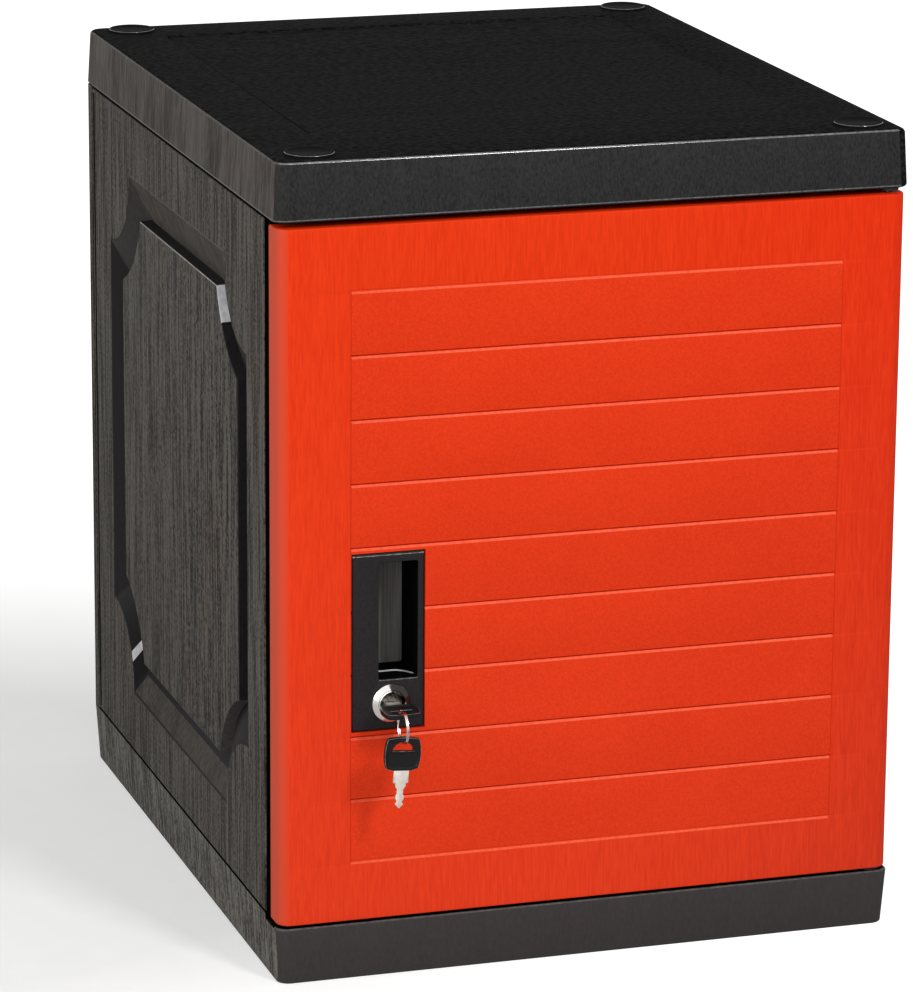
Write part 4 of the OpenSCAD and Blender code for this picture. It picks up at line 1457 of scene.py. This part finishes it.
@dataclass
class SoftCopy:
    """A copy of a CAD node with its edges rounded."""

    node: str
    body: str
    slot: str
    material: Material
    radius: float
    steps: int = 3
    edge_deg: float = 25.0
    flat_deg: float = 1.0
    weld: float = 0.001 * MM

    def build(self) -> None:
        """Builds the copy."""
        shell = Shell()
        shell.mesh.from_mesh(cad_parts[self.node].data)
        mesh = shell.mesh
        bmesh.ops.remove_doubles(mesh, verts=mesh.verts[:], dist=self.weld)
        bmesh.ops.dissolve_limit(mesh, angle_limit=math.radians(self.flat_deg), verts=mesh.verts[:],
                                 edges=mesh.edges[:])
        least = math.radians(self.edge_deg)
        sharp = [e for e in mesh.edges if e.is_manifold and e.calc_face_angle() > least]
        bmesh.ops.bevel(mesh, geom=sharp, offset=self.radius, segments=self.steps, profile=0.5,
                        affect="EDGES", clamp_overlap=True)
        for face in mesh.faces:
            face.material_index = 0
        shell.finish(f"{self.node}_soft", self.body, [self.material], [self.node])


@dataclass
class LockBody:
    """The lock's turned body: a bevelled head with a beaded rim, a dished well and the barrel behind."""

    finishes: Finishes
    head_h: float = 4 * MM
    edge_h: float = 0.8 * MM
    well_r: float = 7.4 * MM
    bore_r: float = 5.55 * MM
    barrel_r: float = 8 * MM
    well_floor: float = 1.0 * MM
    steps: int = 64

    def build(self) -> None:
        """Builds the body."""
        low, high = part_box("lock_body")
        centre = (low + high) / 2
        head_r = (high.x - low.x) / 2
        plate_y = low.y + self.head_h
        # The dark bands, in the well and in the dip beside its bead, take the dark chrome as painted
        # reflections; the bright bands take the banded chrome's painted reflections.
        bright, dark = 0, 1
        well, top, edge, tail = self.well_r, self.head_h, self.edge_h, plate_y - high.y
        # Radius, height above the plate and look of the band from there to the next ring.
        profile = (
            (self.bore_r, tail, bright),
            (self.bore_r, self.well_floor, dark),
            (well - 0.9 * MM, self.well_floor, dark),
            (well - 0.3 * MM, top / 2, dark),
            (well, top - 0.5 * MM, bright),
            (well + 0.2 * MM, top - 0.1 * MM, bright),
            (well + 0.5 * MM, top, bright),
            (well + 0.8 * MM, top - 0.1 * MM, dark),
            (well + 1.0 * MM, top - 0.5 * MM, bright),
            (head_r - 0.5 * MM, 2 * edge, bright),
            (head_r - 0.1 * MM, 1.5 * edge, bright),
            (head_r, edge, bright),
            (head_r, 0.0, bright),
            (self.barrel_r, 0.0, bright),
            (self.barrel_r, tail, bright),
        )
        ways = spokes(self.steps)
        loops = [[Vector((centre.x + r * x, plate_y - h, centre.z + r * z)) for x, z in ways]
                 for r, h, _ in profile]
        shell = Shell()
        shell.loft(loops, [bright] + [slot for _, _, slot in profile], closed=True)
        looks = (self.finishes.lock_chrome, self.finishes.dark_chrome)
        shell.finish("lock_head", "door", looks, ["lock_body"], sharp_deg=25.0)


@dataclass
class SplitRing:
    """The key ring: one wire wound twice round, with both its ends pressed against the other turn."""

    finishes: Finishes
    wire_w: float = 0.45 * MM
    wire_h: float = 0.55 * MM
    turns: float = 1.94
    cross: float = 0.12
    steps: int = 150
    sides: int = 10

    def build(self) -> None:
        """Builds the ring."""
        low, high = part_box("key_ring")
        centre = (low + high) / 2
        radius = (high.z - low.z) / 2 - self.wire_h
        section = [(self.wire_w * x, self.wire_h * y) for x, y in spokes(self.sides)]
        loops = []
        for i in range(self.steps + 1):
            turn = self.turns * i / self.steps
            share = min(max((turn - 1 + self.cross / 2) / self.cross, 0.0), 1.0)
            shift = self.wire_w * (2 * share * share * (3 - 2 * share) - 1)
            angle = 2 * math.pi * turn
            out = Vector((0.0, math.cos(angle), math.sin(angle)))
            middle = centre + radius * out + Vector((shift, 0, 0))
            loops.append([middle + Vector((across, 0, 0)) + away * out for across, away in section])
        shell = Shell()
        shell.loft(loops)
        shell.finish("split_ring", "ring", [self.finishes.chrome], ["key_ring"])


@dataclass
class KeyBow:
    """A key's plastic bow: a raised border, a half-moon hole and a sunk plain field below it."""

    finishes: Finishes
    node: str
    body: str
    hangs: bool
    width: float = 22 * MM
    length: float = 20.2 * MM
    thick: float = 3 * MM
    end_w: float = 18.2 * MM
    arch_r: float = 40 * MM
    neck_w: float = 11 * MM
    slant: float = 1.6 * MM
    bar: float = 2.8 * MM
    hole_r: float = 6.6 * MM
    hole_h: float = 5.6 * MM
    hole_round: Span = (0.3, 0.4)
    hub_share: float = 0.6
    border: float = 1.5 * MM
    field_room: float = 4.0
    sunk: float = 0.5 * MM
    round_r: float = 0.5 * MM
    lit_band: int = 2
    lit_lean: float = 0.3
    wire_r: float = 0.5 * MM
    hang_gap: float = 0.5 * MM
    tilt_deg: float = 4.0
    steps: int = 144

    def build(self) -> None:
        """Builds the bow."""
        self.half_w = self.width / 2
        self.seat = self.on_ring() if self.hangs else self.in_lock()
        bulge = self.half_w - self.end_w / 2
        self.side_r = (self.length ** 2 / 4 + bulge ** 2) / (2 * bulge)
        self.centre = Vector((0.0, self.length - self.bar - self.hub_share * self.hole_h))
        self.ways = [Vector(way) for way in spokes(self.steps)]
        front = self.front_loops()
        loops = front + [[Vector((p.x, p.y, -p.z)) for p in loop] for loop in reversed(front)]
        # The lower edge of the hole and one band of the outer rounding take a painted highlight.
        plain, worn = 0, 1
        hole_edge = [worn if way.y < -self.lit_lean else plain for way in self.ways]
        bands = [plain] * (len(front) - 2) + [hole_edge] + [plain] * (len(front) + 1)
        bands[self.lit_band] = worn
        shell = Shell()
        shell.loft([[self.seat @ p for p in loop] for loop in loops], [plain, *bands], closed=True)
        looks = (self.finishes.key_plastic, self.finishes.worn)
        shell.finish(f"{self.node}_rim", self.body, looks, [self.node], sharp_deg=35.0)

    def front_loops(self) -> list[Loop]:
        """Gives the bow's front half, from its outer edge over the sunk field to its hole.

        Returns:
            The loops.
        """
        outer = [self.reach(way, self.in_bow) for way in self.ways]
        inner = [self.reach(way, self.in_hole) for way in self.ways]
        top = self.thick / 2
        loops = [self.ring([o - inset for o in outer], [top - self.round_r + rise] * self.steps)
                 for inset, rise in quarter_round(self.round_r)]
        room = [o - i for o, i in zip(outer, inner)]
        need = self.field_room * self.border
        sinks = [self.sunk if r > need else 0.0 for r in room]
        squeeze = [min(1.0, r / need) for r in room]
        for outward, sunk in ((True, False), (True, True), (False, True), (False, False)):
            gap = self.border + sunk * self.sunk
            edge, step = (outer, -gap) if outward else (inner, gap)
            radii = [e + step * s for e, s in zip(edge, squeeze)]
            loops.append(self.ring(radii, [top - sunk * sink for sink in sinks]))
        wider, lower = (share * self.round_r for share in self.hole_round)
        loops.append(self.ring([i + wider for i in inner], [top] * self.steps))
        loops.append(self.ring(inner, [top - lower] * self.steps))
        return loops

    def in_bow(self, point: Vector) -> bool:
        """Says whether a point lies inside the bow's outline.

        Args:
            point: A point across and along the bow.

        Returns:
            True if it does.
        """
        x, t = abs(point.x), point.y
        middle = self.length / 2
        side = math.sqrt(max(0.0, self.side_r ** 2 - (t - middle) ** 2)) - self.side_r + self.half_w
        neck = self.neck_w / 2 + (self.half_w - self.neck_w / 2) * max(t, 0.0) / self.slant
        top = self.length - self.arch_r + math.sqrt(max(0.0, self.arch_r ** 2 - x * x))
        return 0 <= t <= top and x <= min(side, neck)

    def in_hole(self, point: Vector) -> bool:
        """Says whether a point lies inside the half-moon hole.

        Args:
            point: A point across and along the bow.

        Returns:
            True if it does.
        """
        top = self.length - self.bar
        away = math.hypot(point.x, point.y - top + self.hole_r)
        return point.y >= top - self.hole_h and away <= self.hole_r

    def reach(self, way: Vector, inside: Callable[[Vector], bool]) -> float:
        """Finds how far an outline lies from the hole's middle.

        Args:
            way: The way to look.
            inside: Says whether a point is inside the outline.

        Returns:
            The distance.
        """
        near, far = 0.0, 2 * self.length
        while far - near > HAIR:
            middle = (near + far) / 2
            if inside(self.centre + way * middle):
                near = middle
            else:
                far = middle
        return near

    def ring(self, radii: Sequence[float], rises: Sequence[float]) -> Loop:
        """Gives a loop round the hole, from how far out its points lie and how far above the bow's middle."""
        return [Vector((*(self.centre + way * r), z)) for way, r, z in zip(self.ways, radii, rises)]

    def in_lock(self) -> Matrix:
        """Gives the seat of the bow that lies flat, with its neck towards the lock.

        Returns:
            The turn and shift from the bow's own axes to the cabinet's.
        """
        low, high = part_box(self.node)
        neck = Vector(((low.x + high.x) / 2, high.y, (low.z + high.z) / 2))
        return Matrix.Translation(neck) @ Matrix.Rotation(math.pi, 4, "Z")

    def on_ring(self) -> Matrix:
        """Gives the seat of the bow that hangs aslant, with its hole on the ring.

        Returns:
            The turn and shift from the bow's own axes to the cabinet's.
        """
        low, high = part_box("key_ring")
        pivot = Vector(((low.x + high.x) / 2, (low.y + high.y) / 2, low.z + self.wire_r))
        drop = self.wire_r + self.hang_gap + self.bar - self.length
        tilt = Matrix.Rotation(math.radians(self.tilt_deg), 4, "Y")
        upright = Matrix.Rotation(math.pi / 2, 4, "X")
        return Matrix.Translation(pivot) @ tilt @ Matrix.Translation((0, 0, drop)) @ upright


class Fittings:
    """The CAD nodes that keep their own shape and take a finish."""

    def __init__(self, finishes: Finishes) -> None:
        """Settles which finish each node takes.

        Args:
            finishes: The scene's finishes.
        """
        f = finishes
        self.looks = {
            "back_panel": f.panel, "door_liner": f.liner,
            "lower_hinge_bush": f.nylon, "upper_hinge_bush": f.nylon,
            "strike_plate": f.steel, "strike_screws": f.steel, "liner_screws": f.steel,
            "handle_screws": f.steel, "lower_hinge_pin": f.dark_chrome, "upper_hinge_pin": f.dark_chrome,
            "lock_washer": f.steel, "lock_nut": f.steel, "lock_core": f.core,
            "lock_cam": f.steel, "cam_bolt": f.steel,
        }

    def dress(self) -> None:
        """Gives each node its finish."""
        for name, material in self.looks.items():
            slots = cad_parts[name].data.materials
            slots.clear()
            slots.append(material)
            LOG.info("%s: %s", name, material.name)


@dataclass(frozen=True)
class Lamp:
    """A soft square lamp that faces a point."""

    name: str
    at: Place
    aim: Place
    size: float
    power: float

    def hang(self) -> None:
        """Adds the lamp to the scene."""
        data = bpy.data.lights.new(self.name, "AREA")
        data.size = self.size
        data.energy = self.power
        lamp = bpy.data.objects.new(self.name, data)
        lamp.location = self.at
        lamp.rotation_euler = (Vector(self.aim) - Vector(self.at)).to_track_quat("-Z", "Y").to_euler()
        bpy.context.scene.collection.objects.link(lamp)


@dataclass
class Studio:
    """The floor, the lights and the camera at the photograph's viewpoint."""

    lamps: tuple[Lamp, ...] = (
        Lamp("key_lamp", at=(0.87, -2.7, 2.45), aim=(0.0, 0.0, 0.25), size=0.6, power=46.0),
        Lamp("front_lamp", at=(-1.0, -3.6, 1.2), aim=(0.0, 0.0, 0.25), size=2.6, power=36.0),
        Lamp("left_lamp", at=(-2.6, -0.8, 1.3), aim=(-0.19, 0.0, 0.25), size=1.6, power=30.5),
    )
    camera_at: Place = (-0.9351, -2.9171, 1.0552)
    yaw_deg: float = 17.5582
    pitch_deg: float = 15.175
    roll_deg: float = -0.3917
    focal_px: float = 5055.39
    image_h_px: int = 992
    sensor_mm: float = 36.0
    ambient: float = 0.28
    floor_size: float = 14.0
    paper_cells: float = 60.0
    floor_lift: Span = (0.42, 1.0)
    lift_from: Span = (0.3, 0.8)
    lift_centre: Place = (-0.38, 0.12, 0.0)

    def build(self) -> None:
        """Builds the studio."""
        bpy.context.scene.view_settings.view_transform = "Standard"
        self.place_camera()
        self.light_world()
        self.lay_floor()
        for lamp in self.lamps:
            lamp.hang()

    def place_camera(self) -> None:
        """Sets the camera from the fitted view."""
        yaw, pitch, roll = (math.radians(d) for d in (self.yaw_deg, self.pitch_deg, self.roll_deg))
        level = math.cos(pitch)
        ahead = Vector((math.sin(yaw) * level, math.cos(yaw) * level, -math.sin(pitch)))
        right = Vector((math.cos(yaw), -math.sin(yaw), 0))
        down = ahead.cross(right)
        across = math.cos(roll) * right + math.sin(roll) * down
        up = math.sin(roll) * right - math.cos(roll) * down
        data = bpy.data.cameras.new("camera")
        data.sensor_width = self.sensor_mm
        data.lens = self.focal_px * self.sensor_mm / self.image_h_px
        camera = bpy.data.objects.new("camera", data)
        turn = Matrix((across, up, -ahead)).transposed()
        camera.matrix_world = Matrix.Translation(self.camera_at) @ turn.to_4x4()
        bpy.context.scene.collection.objects.link(camera)
        bpy.context.scene.camera = camera

    def light_world(self) -> None:
        """Makes a soft ambient light that looks white to the camera and in reflections."""
        world = bpy.data.worlds.new("studio")
        world.use_nodes = True
        tree = world.node_tree
        tree.nodes.clear()
        path = tree.nodes.new("ShaderNodeLightPath")
        seen = path.outputs["Is Camera Ray"]
        for ray in ("Is Glossy Ray", "Is Transmission Ray"):
            either = tree.nodes.new("ShaderNodeMath")
            either.operation = "MAXIMUM"
            tree.links.new(seen, either.inputs[0])
            tree.links.new(path.outputs[ray], either.inputs[1])
            seen = either.outputs["Value"]
        soft = tree.nodes.new("ShaderNodeBackground")
        soft.inputs["Strength"].default_value = self.ambient
        white = tree.nodes.new("ShaderNodeBackground")
        for node in (soft, white):
            node.inputs["Color"].default_value = (1, 1, 1, 1)
        mix = tree.nodes.new("ShaderNodeMixShader")
        output = tree.nodes.new("ShaderNodeOutputWorld")
        tree.links.new(seen, mix.inputs["Fac"])
        tree.links.new(soft.outputs["Background"], mix.inputs[1])
        tree.links.new(white.outputs["Background"], mix.inputs[2])
        tree.links.new(mix.outputs["Shader"], output.inputs["Surface"])
        bpy.context.scene.world = world

    def lay_floor(self) -> None:
        """Lays a pale floor with a painted glow for camera rays, so it reads as white and keeps the shadow.
        """
        half = self.floor_size / 2
        data = bpy.data.meshes.new("floor")
        corners = [(-half, -half, 0), (half, -half, 0), (half, half, 0), (-half, half, 0)]
        data.from_pydata(corners, [], [(0, 1, 2, 3)])
        floor = bpy.data.objects.new("floor", data)
        bpy.context.scene.collection.objects.link(floor)
        graph = Graph("floor_paper")
        speckle = graph.noise((self.paper_cells,) * 3, detail=2.0)
        away = graph.add("ShaderNodeVectorMath")
        away.operation = "DISTANCE"
        away.inputs[1].default_value = self.lift_centre
        graph.feed(away, Vector=graph.place)
        # The glow is weaker near lift_centre, left of the cabinet where the shadow falls, so the floor stays
        # greyer there.
        (near, far), (low, high) = self.lift_from, self.floor_lift
        lift = graph.node("ShaderNodeMapRange", "Result", Value=away.outputs["Value"],
                          From_Min=near, From_Max=far, To_Min=low, To_Max=high)
        seen = graph.add("ShaderNodeMath")
        seen.operation = "MULTIPLY"
        graph.tree.links.new(graph.node("ShaderNodeLightPath", "Is Camera Ray"), seen.inputs[0])
        graph.tree.links.new(lift, seen.inputs[1])
        graph.feed(
            graph.shader,
            Base_Color=graph.ramp(speckle, (0.3, 0.7), srgb(206, 206, 205), srgb(212, 212, 211)),
            Roughness=0.9, Specular_IOR_Level=0.05, Emission_Color=(1.0, 1.0, 1.0, 1.0),
            Emission_Strength=seen.outputs["Value"])
        data.materials.append(graph.material)


def main() -> None:
    """Builds every piece in order."""
    logging.basicConfig(level=logging.INFO, format="%(message)s")
    finishes = Finishes()
    Studio().build()
    Lid(finishes).build()
    Plugs(finishes).build()
    Base(finishes).build()
    for side in Side:
        SidePanel(finishes, side).build()
    Door(finishes).build()
    Handle(finishes).build()
    LockBody(finishes).build()
    SplitRing(finishes).build()
    KeyBow(finishes, "key_bow", "key", hangs=False).build()
    KeyBow(finishes, "spare_key_bow", "spare_key", hangs=True).build()
    blade_edge = 0.15 * MM
    SoftCopy("key_blade", "key", "steel", finishes.blade, blade_edge).build()
    SoftCopy("spare_key_blade", "spare_key", "steel", finishes.blade, blade_edge).build()
    Fittings(finishes).dress()


if __name__ == "__main__":
    main()
